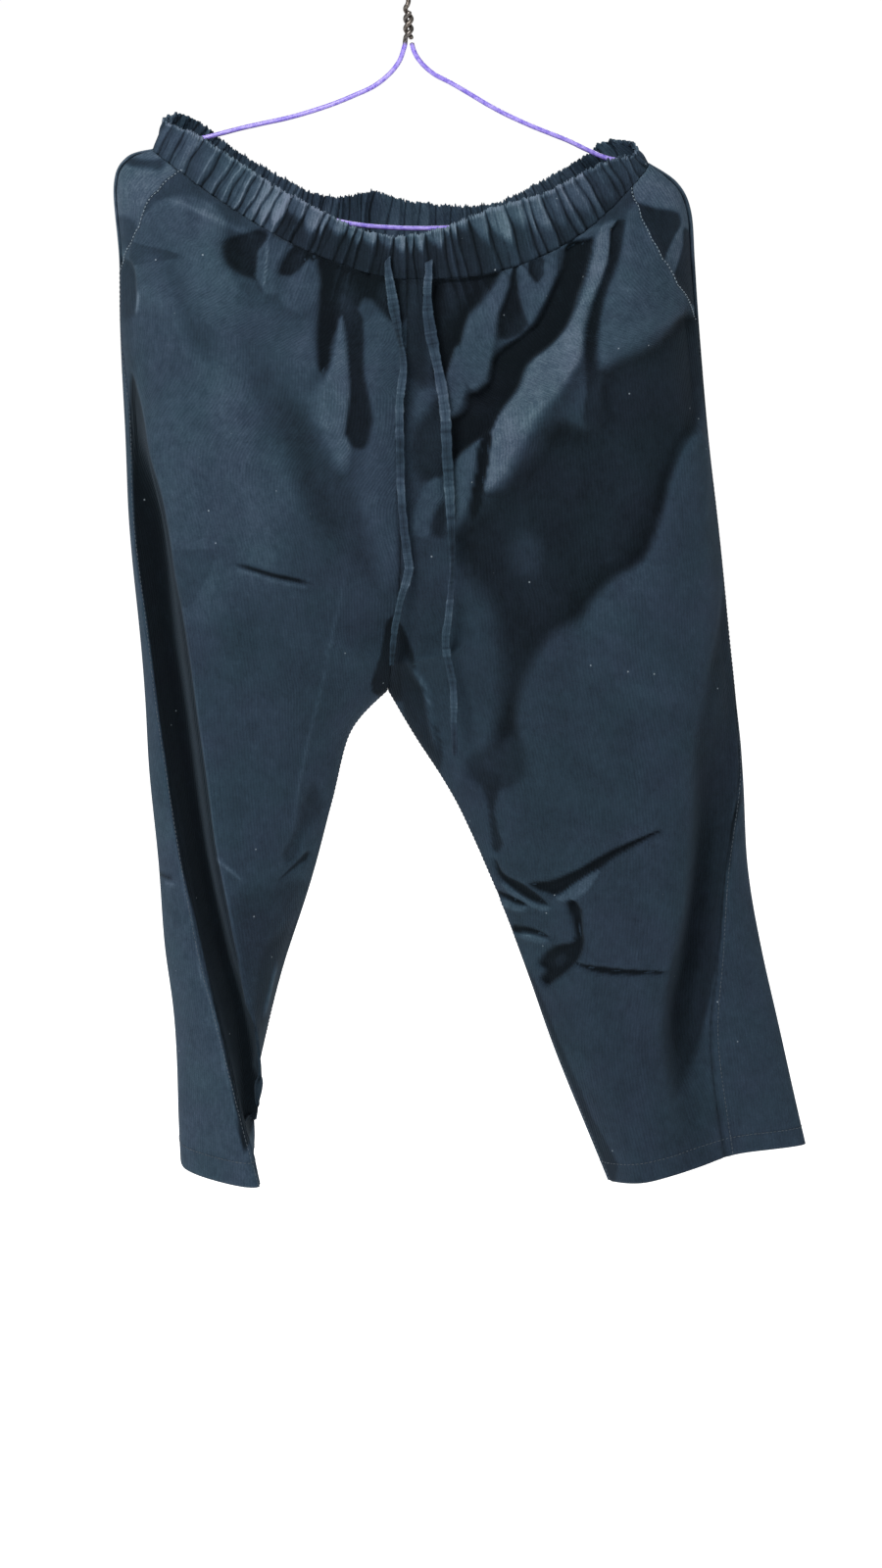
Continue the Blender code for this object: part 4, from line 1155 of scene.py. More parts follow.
@dataclass(frozen=True)
class CoatedWire:
    """Steel wire dipped in purple PVC: softly glossy and a little uneven, and bare where it twists."""

    name: str = "purple_coated_wire"
    bright: str = "#b3a3f5"
    deep: str = "#7c68d6"
    bare: str = "#6f6a66"
    # The coating ends where the wire starts to twist.
    neck_mm: float = -97.0
    roughness: float = 0.34

    def material(self) -> Material:
        """Builds the wire's material, on Object coordinates.

        Returns:
            The material.
        """
        material, tree = new_material(self.name)
        place = add_node(tree, "ShaderNodeTexCoord").outputs["Object"]
        mottle = add_node(
            tree, "ShaderNodeTexNoise", {"Vector": place, "Scale": 260.0, "Detail": 3.0, "Roughness": 0.6}
        ).outputs["Fac"]
        ramp = add_node(tree, "ShaderNodeValToRGB", {"Fac": mottle})
        set_ramp(ramp, ((0.34, self.deep), (0.62, self.bright)))
        height = add_node(tree, "ShaderNodeSeparateXYZ", {"Vector": place}).outputs["Z"]
        ends = {"From Min": (self.neck_mm - 1.5) * MM, "From Max": (self.neck_mm + 1.5) * MM}
        edge = add_node(tree, "ShaderNodeMapRange", {"Value": height, **ends}).outputs["Result"]
        colours = {"Factor": edge, 6: ramp.outputs["Color"], 7: linear(self.bare)}
        colour = add_node(tree, "ShaderNodeMix", colours, data_type="RGBA").outputs[2]
        metal = add_node(tree, "ShaderNodeMath", {0: edge, 1: 0.8}, operation="MULTIPLY").outputs[0]
        bump = add_node(
            tree, "ShaderNodeBump", {"Height": mottle, "Strength": 0.35, "Distance": 0.0006}
        ).outputs["Normal"]
        shader = add_node(tree, "ShaderNodeBsdfPrincipled", {
            "Base Color": colour, "Metallic": metal, "Roughness": self.roughness, "Normal": bump,
        })
        add_node(tree, "ShaderNodeOutputMaterial", {"Surface": shader.outputs["BSDF"]})
        return material


@dataclass(frozen=True)
class BareWire:
    """Drawn steel wire with no coating: dull, grey-brown and lightly streaked along its length."""

    name: str = "bare_steel_wire"
    pale: str = "#8b857e"
    dull: str = "#5a4f48"
    roughness: float = 0.46

    def material(self) -> Material:
        """Builds the bare wire's material.

        Returns:
            The material.
        """
        material, tree = new_material(self.name)
        place = add_node(tree, "ShaderNodeTexCoord").outputs["Object"]
        streak = add_node(
            tree, "ShaderNodeTexNoise", {"Vector": place, "Scale": 420.0, "Detail": 4.0, "Roughness": 0.7}
        ).outputs["Fac"]
        ramp = add_node(tree, "ShaderNodeValToRGB", {"Fac": streak})
        set_ramp(ramp, ((0.35, self.dull), (0.65, self.pale)))
        bump = add_node(
            tree, "ShaderNodeBump", {"Height": streak, "Strength": 0.25, "Distance": 0.0003}
        ).outputs["Normal"]
        shader = add_node(tree, "ShaderNodeBsdfPrincipled", {
            "Base Color": ramp.outputs["Color"], "Metallic": 0.85, "Roughness": self.roughness,
            "Normal": bump,
        })
        add_node(tree, "ShaderNodeOutputMaterial", {"Surface": shader.outputs["BSDF"]})
        return material


@dataclass(frozen=True)
class Paper:
    """Matt white background paper: flat and even."""

    name: str = "white_paper"
    colour: str = "#f6f6f5"

    def material(self) -> Material:
        """Builds the paper's material, with its faint tooth.

        Returns:
            The material.
        """
        material, tree = new_material(self.name)
        place = add_node(tree, "ShaderNodeTexCoord").outputs["Object"]
        tooth = add_node(tree, "ShaderNodeTexNoise", {"Vector": place, "Scale": 900.0, "Detail": 1.0})
        bump = add_node(
            tree, "ShaderNodeBump", {"Height": tooth.outputs["Fac"], "Strength": 0.05, "Distance": 0.0002}
        ).outputs["Normal"]
        # The paper glows behind the garment, as if lit from under it, and is plain in front.
        depth = add_node(tree, "ShaderNodeSeparateXYZ", {"Vector": place}).outputs["Y"]
        fade = {"Value": depth, "From Min": -1.2, "From Max": -0.1, "To Min": 0.25, "To Max": 1.0}
        glow = add_node(tree, "ShaderNodeMapRange", fade, interpolation_type="SMOOTHSTEP").outputs["Result"]
        seen = add_node(tree, "ShaderNodeLightPath").outputs["Is Camera Ray"]
        glow = add_node(tree, "ShaderNodeMath", {0: glow, 1: seen}, operation="MAXIMUM").outputs[0]
        shader = add_node(tree, "ShaderNodeBsdfPrincipled", {
            "Base Color": linear(self.colour), "Roughness": 0.9, "Specular IOR Level": 0.1, "Normal": bump,
            "Emission Color": linear("#ffffff"), "Emission Strength": glow,
        })
        add_node(tree, "ShaderNodeOutputMaterial", {"Surface": shader.outputs["BSDF"]})
        return material


def grid_faces(rows: int, columns: int, start: int, closed: bool, flip: bool) -> Array:
    """Numbers the quads of a grid of points.

    Args:
        rows: How many rows the grid has.
        columns: How many points each row has.
        start: The number of its first point.
        closed: Whether each row runs right round.
        flip: Whether the quads face the other way.

    Returns:
        The corners of each quad.
    """
    i = np.arange(rows - 1)[:, None]
    j = np.arange(columns if closed else columns - 1)[None]
    k = (j + 1) % columns
    quads = np.stack([i * columns + j, i * columns + k, (i + 1) * columns + k, (i + 1) * columns + j], -1)
    quads = quads.reshape(-1, 4) + start
    return quads[:, ::-1] if flip else quads


def rim_faces(rim: Array, count: int) -> Array:
    """Closes a wall along a rim of outer points, whose inner points are numbered count higher."""
    ahead = np.roll(rim, -1)
    return np.stack([ahead, rim, rim + count, ahead + count], -1)


def loop_round(numbers: Array) -> Array:
    """Walks once round the outer points of a grid of numbers."""
    return np.concatenate([numbers[0], numbers[1:, -1], numbers[-1, -2::-1], numbers[-2:0:-1, 0]])


def wall_faces(rows: int, columns: int) -> list[list[int]]:
    """Closes a wall whose outer grid has odd counts and whose inner grid has every second point of it.

    Args:
        rows: How many rows the outer grid has.
        columns: How many points each of its rows has.

    Returns:
        The corners of each face of the outer side, the inner side and the rim.
    """
    count = rows * columns
    outer = loop_round(np.arange(count).reshape(rows, columns))
    half_rows, half_columns = rows // 2 + 1, columns // 2 + 1
    inner = loop_round(np.arange(half_rows * half_columns).reshape(half_rows, half_columns)) + count
    a, b, c = outer[::2], outer[1::2], np.roll(outer, -2)[::2]
    ahead = np.roll(inner, -1)
    return (
        grid_faces(rows, columns, 0, False, False).tolist()
        + grid_faces(half_rows, half_columns, count, False, True).tolist()
        + np.stack([b, a, inner], -1).tolist()
        + np.stack([c, b, inner, ahead], -1).tolist()
    )


def tube_faces(rings: int, sides: int) -> list[list[int]]:
    """Closes a tube whose two end points are numbered after its rings.

    Args:
        rings: How many rings it has.
        sides: How many points each ring has.

    Returns:
        The corners of each face of its side and its ends.
    """
    last, ends = (rings - 1) * sides, rings * sides
    faces = grid_faces(rings, sides, 0, True, False).tolist()
    for j in range(sides):
        k = (j + 1) % sides
        faces += [[ends, k, j], [ends + 1, last + j, last + k]]
    return faces


def show(data: ID) -> Object:
    """Puts a mesh, curve, light or camera into the scene under its own name.

    Args:
        data: What is shown.

    Returns:
        Its object.
    """
    shown = bpy.data.objects.new(data.name, data)
    bpy.context.scene.collection.objects.link(shown)
    return shown


def make_piece(
    name: str,
    points: Array,
    faces: list[list[int]],
    material: Material,
    tone: Array | None = None,
    grain: Array | None = None,
) -> Object:
    """Makes a smooth piece from points in millimetres.

    Args:
        name: The piece's name.
        points: Its points.
        faces: The corners of its faces.
        material: Its finish.
        tone: The painted light and shade at each point, from 0 to 1.
        grain: The place of each point on the cloth in millimetres, for the map of the grain.

    Returns:
        The piece, with its faces turned out and riding on the body.
    """
    mesh = bpy.data.meshes.new(name)
    mesh.from_pydata((points * MM).tolist(), [], faces)
    mesh.validate()
    corners = np.array([p.vertices[:3] for p in mesh.polygons])
    a, b, c = (points[corners[:, k]] for k in range(3))
    if float(np.einsum("ij,ij->i", a, np.cross(b, c)).sum()) < 0:
        mesh.flip_normals()
    if tone is not None:
        attribute = mesh.attributes.new("tone", "FLOAT", "POINT")
        attribute.data.foreach_set("value", tone.astype(np.float32))
    if grain is not None:
        layer = mesh.uv_layers.new(name="grain")
        corner = np.empty(len(mesh.loops), np.int32)
        mesh.loops.foreach_get("vertex_index", corner)
        layer.data.foreach_set("uv", (grain[corner] * MM).astype(np.float32).ravel())
    mesh.materials.append(material)
    mesh.shade_smooth()
    piece = show(mesh)
    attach(piece, BODY)
    return piece


def grid_normals(points: Array, turn: float) -> Array:
    """Finds the outward direction at each point of a grid with columns round and rows down."""
    return unit(np.cross(np.gradient(points, axis=1), np.gradient(points, axis=0))) * turn


def grain_map(points: Array) -> Array:
    """Lays a panel's grid flat.

    Args:
        points: The grid, with columns round the panel and rows down it.

    Returns:
        How far each point lies across from the middle column, and how far down.
    """
    middle = points.shape[1] // 2
    across = np.stack([run_along(row) for row in points])
    down = run_along(points[:, middle])
    return np.stack(np.broadcast_arrays(across - across[:, middle : middle + 1], down[:, None]), -1)


def box_blur(field: Array, reach: int) -> Array:
    """Averages a grid over a square of cells, three times, which is close to a soft blur.

    Args:
        field: The numbers of the grid.
        reach: How many cells the square reaches out on each side.

    Returns:
        The averages.
    """
    wide = 2 * reach + 1
    for axis in (0, 1) * 3:
        around = [(reach + 1, reach) if k == axis else (0, 0) for k in (0, 1)]
        total = np.moveaxis(np.cumsum(np.pad(field, around, mode="edge"), axis), axis, 0)
        field = np.moveaxis(total[wide:] - total[:-wide], 0, axis) / wide
    return field


def hollow_of(points: Array, out: Array, reach: int) -> Array:
    """How far each point of a grid lies below the blurred surface around it, in millimetres."""
    blurred = np.stack([box_blur(points[..., k], reach) for k in range(3)], -1)
    return np.einsum("ijk,ijk->ij", blurred - points, out)


# The patches of painted light and shade, and the tone under them, on the cloth behind each pocket mouth.
FACINGS = {
    Side.RIGHT: (
        (
            Patch(((-236, -188, 2), (-216, -190, 2), (-199, -192, 2), (-201, -197, 2), (-216, -196, 3),
                (-233, -192, 2)), 0.26, 0),
            Patch(((-240, -236, 3), (-226, -240, 3), (-230, -262, 3), (-242, -262, 3)), 0.4, 0),
        ),
        0.61,
    ),
    Side.LEFT: (
        (
            Patch(((201, -186, 2), (236, -180, 2), (238, -186, 2), (203, -192, 2)), 0.35, 0),
            Patch(((180, -224, 1.7), (204, -229, 1.7), (224, -234, 1.7), (226, -241, 1.2), (221, -251, 1.2),
                (215, -264, 1.2), (210, -277, 1.2), (197, -259, 1.7), (184, -239, 1.7)), 0.1, 0),
            Patch(((229, -245, 1.2), (235, -250, 1.2), (242, -279, 1.2), (243, -309, 1.2), (230, -306, 1.2),
                (220, -287, 1.2), (224, -274, 1.2), (228, -259, 1.2)), 0.1, 0),
        ),
        0.58,
    ),
}


# How far up the casing each of its rows lies.
BAND_SHARES = (0, 0.05, 0.1, 0.17, 0.25, 0.33, 0.42, 0.5, 0.58, 0.66, 0.73, 0.79, 0.84, 0.88, 0.92, 0.96, 1)
# The painted light and shade of the front of the waistband at each x, at its seam and near its top.
BAND_X = (-215, -190, -150, -118, -98, -60, 0, 50, 80, 120, 160, 200)
BAND_FOOT = (0.5, 0.55, 0.53, 0.44, 0.22, 0.16, 0.16, 0.16, 0.23, 0.3, 0.32, 0.27)
BAND_HEAD = (0.52, 0.56, 0.62, 0.66, 0.7, 0.68, 0.62, 0.6, 0.58, 0.54, 0.46, 0.34)
# How far up the casing its painted lit top begins.
BAND_EDGE = (0.0, 0.0, 0.1, 0.2, 0.45, 0.6, 0.74, 0.72, 0.56, 0.4, 0.3, 0.3)

# The seeds of the ties' uneven edges and nap.
TIE_SEEDS = {Side.RIGHT: 3, Side.LEFT: 4}


@dataclass(frozen=True)
class PanelPlan:
    """How finely a cut piece is built."""

    rows: int
    shares: tuple[tuple[float, float, int], ...]


FRONT_PLAN = PanelPlan(521, ((0, 0.25, 42), (0.25, 0.5, 42), (0.5, 0.75, 28), (0.75, 1, 24)))
BACK_PLAN = PanelPlan(401, ((4, 5, 20), (5, 6, 30), (6, 7, 50), (7, 8, 50)))
FACING_PLAN = PanelPlan(91, ((0, 1, 34),))


@dataclass
class Garment:
    """The joggers: panels, facings, waistband, ties and stitching, each its own piece."""

    right: Half
    left: Half
    cloth: Material
    tie_cloth: Material
    band_wall: float = 2.6
    band_points: int = 1860
    tie_width: float = 7.0
    tie_thick: float = 1.2

    def panel(
        self,
        name: str,
        half: Half,
        s: Array,
        t: Array,
        sunk: float,
        wall: float,
        own_patches: Sequence[Patch] | None = None,
        own_tone: float = 0.5,
    ) -> Object:
        """Builds one cut piece with its wall, its seams drawn in and its painted light and shade toned in.

        Args:
            name: The piece's name.
            half: The half that it is cut from.
            s: Its levels.
            t: Its coordinates round the half, a row for each level.
            sunk: How far it lies under the surface.
            wall: Its thickness.
            own_patches: Patches that it wears in place of those of its half.
            own_tone: The tone of its painted light and shade under them.

        Returns:
            The piece.
        """
        levels = np.repeat(s[:, None], t.shape[1], 1)
        points, tone = half.surface(levels, t)
        out = grid_normals(points, half.turn)
        side = unit(np.gradient(points, axis=1))
        if own_patches is not None:
            tone, _ = lay_patches(own_patches, *sighted(points), np.full(points.shape[:2], own_tone))
        points[:, 0] += side[:, 0] * EDGE_GAP
        points[:, -1] -= side[:, -1] * EDGE_GAP
        grain = grain_map(points)
        width = grain[:, -1, 0] - grain[:, 0, 0]
        from_edge = np.minimum(grain[..., 0] - grain[:, :1, 0], grain[:, -1:, 0] - grain[..., 0])
        # The thread draws the cloth in at its seams, and it swells beside them.
        pucker = 0.25 * np.sin(grain[..., 1] / 2.3 + 2 * np.sin(grain[..., 1] / 9))
        seam = (pucker - 0.7) * bell(from_edge, 0, 1.6) + 0.3 * bell(from_edge, 4.5, 2.4)
        flush = smoothstep(0.25, 0.5, np.linspace(0, 1, t.shape[1]))[None] * smoothstep(0.9, 0.1, levels)
        # A piece that runs out to a point has no room for its seams there.
        push = np.where(width[:, None] > 20, seam, 0) - sunk * (1 - 0.9 * flush)
        points = points + out * push[..., None]
        # Painted light along the crests of the folds and painted shade in their hollows.
        crest_shading_weight = 1 - 0.8 * bell(levels, CROTCH_ROW, 0.4)
        tone = tone - 0.03 * crest_shading_weight * np.clip(hollow_of(points, out, 6), -1.5, 2.5)
        # A line of painted shade along each seam, below the third level.
        tone -= 0.07 * bell(from_edge, 0, 1.2) * (levels > 3)
        top = points[0, :, 2] - WAIST_GAP
        inner = points - out * wall
        points[0, :, 2] = np.minimum(points[0, :, 2], top)
        inner[0, :, 2] = np.minimum(inner[0, :, 2], top)
        points, inner = (half.on_own_side(levels, grid, HALVES_GAP) for grid in (points, inner))
        inner = inner[::2, ::2]
        verts = np.concatenate([points.reshape(-1, 3), inner.reshape(-1, 3)])
        tones = np.concatenate([tone.ravel(), np.full(inner.shape[0] * inner.shape[1], 0.3)])
        flat = np.concatenate([grain.reshape(-1, 2), grain[::2, ::2].reshape(-1, 2)])
        faces = wall_faces(*t.shape)
        piece = make_piece(name, verts, faces, self.cloth, np.clip(tones, 0, 1), flat)
        return piece

    def front(self, half: Half) -> Object:
        """Builds a front with its pocket mouth cut off.

        Args:
            half: The half that it is cut from.

        Returns:
            The piece.
        """
        s = levels_by_length(half, 0, HEM_ROW, FRONT_PLAN.rows, 0.7)
        t = spaced(FRONT_PLAN.shares) * half.pocket_edge(s)[:, None]
        piece = self.panel(f"joggers_front_{half.side.value}", half, s, t, 0, CLOTH)
        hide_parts(f"front_{half.side.value}")
        return piece

    def back(self, half: Half) -> Object:
        """Builds a back.

        Args:
            half: The half that it is cut from.

        Returns:
            The piece.
        """
        s = levels_by_length(half, 0, HEM_ROW, BACK_PLAN.rows, 0.7)
        t = np.repeat(spaced(BACK_PLAN.shares)[None], len(s), 0)
        piece = self.panel(f"joggers_back_{half.side.value}", half, s, t, 0, CLOTH)
        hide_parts(f"back_{half.side.value}")
        return piece

    def facing(self, half: Half) -> Object:
        """Builds the cloth behind a pocket mouth.

        Args:
            half: The half that the mouth is in.

        Returns:
            The piece.
        """
        s = levels_by_length(half, 0, half.pocket[-1][0], FACING_PLAN.rows)
        cut = half.pocket_edge(s)[:, None]
        shares = spaced(FACING_PLAN.shares)
        t = FACING_START * cut + shares * (SIDE_SEAM - FACING_START * cut)
        name = f"pocket_facing_{half.side.value}_cloth"
        piece = self.panel(name, half, s, t, FACING_SUNK, FACING_WALL, *FACINGS[half.side])
        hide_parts(f"pocket_facing_{half.side.value}")
        return piece

    def waist_low(self, count: int) -> Array:
        """Finds the lower edge of the waistband, from the centre front to the wearer's right and round.

        Args:
            count: How many points to return.

        Returns:
            The points, evenly spaced by length.
        """
        edges = []
        for half in (self.right, self.left):
            cut = half.pocket[0][1]
            front = spaced([(0, 0.25, 7), (0.25, 0.5, 7), (0.5, 0.75, 4), (0.75, 1, 3)]) * cut
            behind = np.linspace(cut, SIDE_SEAM, 5)[1:-1]
            back = spaced([(4, 5, 2), (5, 6, 3), (6, 7, 5), (7, 8, 5)])
            t = np.concatenate([front, behind, back])
            edges.append(half.smooth(np.zeros(len(t)), t))
        return evenly(np.concatenate([edges[0][:-1], edges[1][::-1]]), count)

    def waist_high(self, count: int) -> Array:
        """Finds count points of the top edge of the waistband, evenly spaced by length."""
        dense = closed_curve(np.array(BAND_TOP, float), 24)
        return evenly(np.concatenate([dense, dense[:1]]), count)

    def waistband(self) -> Object:
        """Builds the casing, gathered unevenly by its elastic, with a ragged ruffle along its top.

        Returns:
            The piece.
        """
        count = self.band_points
        low = self.waist_low(count)
        low[:, 2] += WAIST_GAP
        high = self.waist_high(count)
        # Directions are taken over a stretch of points, so that they turn smoothly.
        across = np.roll(low, -20, 0) - np.roll(low, 20, 0)
        out = unit(np.stack([-across[:, 1], across[:, 0], np.zeros(count)], -1))
        column = np.arange(count) / count
        split = float(np.argmax(low[:, 1] * (abs(low[:, 0]) < 4))) / count
        place = np.where(column < split, 0.5 * column / split, 0.5 + 0.5 * (column - split) / (1 - split))
        middle = 0.5 * (low + high)
        loop = np.linalg.norm(np.roll(middle, -1, 0) - middle, axis=1).sum()
        run = unit(np.roll(middle, -30, 0) - np.roll(middle, 30, 0))
        # The gathers stand square to the casing's run, so they lean where it climbs to the hanger's ends.
        lean = np.einsum("ij,ij->i", high - low, run)
        calm = 1 - 0.45 * bell(place, 0.77, 0.05) - 0.3 * bell(place, 0.26, 0.03)
        random = np.random.default_rng(GATHERS.seed)
        jag = random.normal(0, 0.9, count)
        jag = (jag + np.roll(jag, 1)) / 1.5
        bulge = np.interp(BAND_SHARES, (0, 0.3, 0.55, 0.72, 0.84, 1.0), (0.0, 1.2, 1.8, 1.5, 0.7, 0.8))
        depth = np.interp(BAND_SHARES, (0, 0.2, 0.75, 0.84, 1.0), (0.7, 1.0, 1.0, 0.8, 1.0))
        front = smoothstep(4, -4, low[:, 1])
        behind = 0.42
        rows, tones, inside = [], [], []
        for share, swell, deep in zip(BAND_SHARES, bulge, depth):
            turned = place + lean * share / loop
            height, band_outer_light_and_shade, band_inner_light_and_shade, crests = GATHERS.profile(turned, np.full(count, share))
            ruffle = 0.7 * np.sin(place * 1100 + 3 * np.sin(place * 90)) * smoothstep(0.8, 1.0, share)
            row = low + share * (high - low) + out * (swell + height * calm * deep + ruffle)[:, None]
            row[:, 2] += jag * smoothstep(0.86, 1.0, share)
            rows.append(row)
            # Painted light and shade: the middle of the casing hangs slack, out of the light, and its top is
            # lit.
            foot = np.interp(row[:, 0], BAND_X, BAND_FOOT)
            head = np.interp(row[:, 0], BAND_X, BAND_HEAD)
            edge = np.interp(row[:, 0], BAND_X, BAND_EDGE) + 0.18 - 0.36 * crests
            facing = foot + (head - foot) * smoothstep(-0.06, 0.14, share - edge)
            frayed = 0.1 + 0.34 * abs(np.sin(place * 1400 + 4 * np.sin(place * 77)))
            frayed = frayed * smoothstep(0.9, 1.0, share)
            contrast = 0.35 + 0.65 * smoothstep(0.1, 0.4, facing)
            lit = behind + front * (facing - behind)
            tones.append(lit + band_outer_light_and_shade * calm * (1 - front + front * contrast) + frayed)
            # Inside, painted shade along each gather and behind the middle of the back.
            inside.append(0.5 + band_inner_light_and_shade - 0.16 * bell(row[:, 0], -50, 24) + 0.2 * frayed)
        outer = np.stack(rows[::-1])
        inner = outer - out * self.band_wall
        n = outer.shape[0] * count
        numbers = np.arange(n).reshape(-1, count)
        quads = np.concatenate([
            grid_faces(len(rows), count, 0, True, False),
            grid_faces(len(rows), count, n, True, True),
            rim_faces(numbers[0], n),
            rim_faces(numbers[-1][::-1], n),
        ])
        verts = np.concatenate([outer.reshape(-1, 3), inner.reshape(-1, 3)])
        flat = np.stack(np.broadcast_arrays((place * loop)[None], -outer[..., 2]), -1).reshape(-1, 2)
        flat = np.concatenate([flat, flat])
        tone = np.clip(np.concatenate(tones[::-1] + inside[::-1]), 0, 1)
        piece = make_piece("joggers_waistband", verts, quads.tolist(), self.cloth, tone, flat)
        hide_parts("waistband")
        return piece

    def tie(
        self,
        side: Side,
        route: Sequence[Sequence[float]],
        turns: Sequence[tuple[float, float, float]],
    ) -> Object:
        """Args:
            side: Which tie it is.
            route: The points that it runs through.
            turns: Its width and its twist down the route.

        Returns:
            The piece.
        """
        width, thick = self.tie_width, self.tie_thick
        steps, columns = 300, 20
        path = smooth_path(route, steps)
        along = unit(np.gradient(path, axis=0))
        across = unit(np.array([1.0, 0.0, 0.0]) - along * along[:, :1])
        face = np.cross(along, across)
        run = run_along(path)
        at, widths, degrees = np.array(turns, float).T
        soften = np.ones(9) / 9
        wide, roll = (
            np.convolve(np.pad(np.interp(run / run[-1], at, values), 4, mode="edge"), soften, "valid")
            for values in (widths / 2, np.radians(degrees))
        )
        random = np.random.default_rng(TIE_SEEDS[side])
        ragged = random.normal(0, 0.16, (steps, 2))
        waves = np.stack([np.sin(run / 2.7 + 2 * np.sin(run / 11)), np.sin(run / 3.3 + 1)], -1)
        ragged = ragged + 0.22 * waves
        angles = np.linspace(0, 2 * math.pi, columns, endpoint=False)
        shape_x = np.sign(np.cos(angles)) * np.abs(np.cos(angles)) ** 0.55
        shape_y = np.sign(np.sin(angles)) * np.abs(np.sin(angles)) ** 0.8
        # The strip is folded in three and pressed, so its edges are fatter than its middle.
        dip = 1 - 0.45 * bell(shape_x, 0, 0.42)
        edged = np.where(shape_x > 0, ragged[:, :1], ragged[:, 1:]) * np.abs(shape_x) ** 3
        middle = path + face * thick / 2
        turned_x = across * np.cos(roll)[:, None] + face * np.sin(roll)[:, None]
        turned_y = face * np.cos(roll)[:, None] - across * np.sin(roll)[:, None]
        sideways = wide[:, None] * shape_x + edged * np.sign(shape_x)
        upwards = thick * 0.62 * shape_y * dip + 0.14 * np.sin(run / 2.2)[:, None]
        rings = middle[:, None] + turned_x[:, None] * sideways[..., None]
        rings += turned_y[:, None] * upwards[..., None]
        verts = np.concatenate([rings.reshape(-1, 3), middle[:1], middle[-1:]])
        crown = np.abs(shape_x)
        # Painted light along the tie's rounded edges, painted shade in its pressed middle and where it
        # twists; the streaks vary along it.
        tie_light_and_shade = 0.46 + 0.1 * bell(crown, 0.86, 0.1) - 0.1 * bell(crown, 0, 0.2)
        streaks = 0.11 * np.sin(run / 14 + np.sin(run / 31)) + random.normal(0, 0.06, steps)
        tone = tie_light_and_shade[None] + (streaks - 0.14 * np.sin(roll) ** 2)[:, None]
        tone = np.concatenate([tone.ravel(), [0.5, 0.5]])
        flat = np.stack(np.broadcast_arrays(shape_x[None] * width / 2, run[:, None]), -1)
        flat = np.concatenate([flat.reshape(-1, 2), [[0, 0], [0, run[-1]]]])
        faces = tube_faces(steps, columns)
        piece = make_piece(f"joggers_tie_{side.value}", verts, faces, self.tie_cloth, tone, flat)
        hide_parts(f"tie_{side.value}")
        return piece


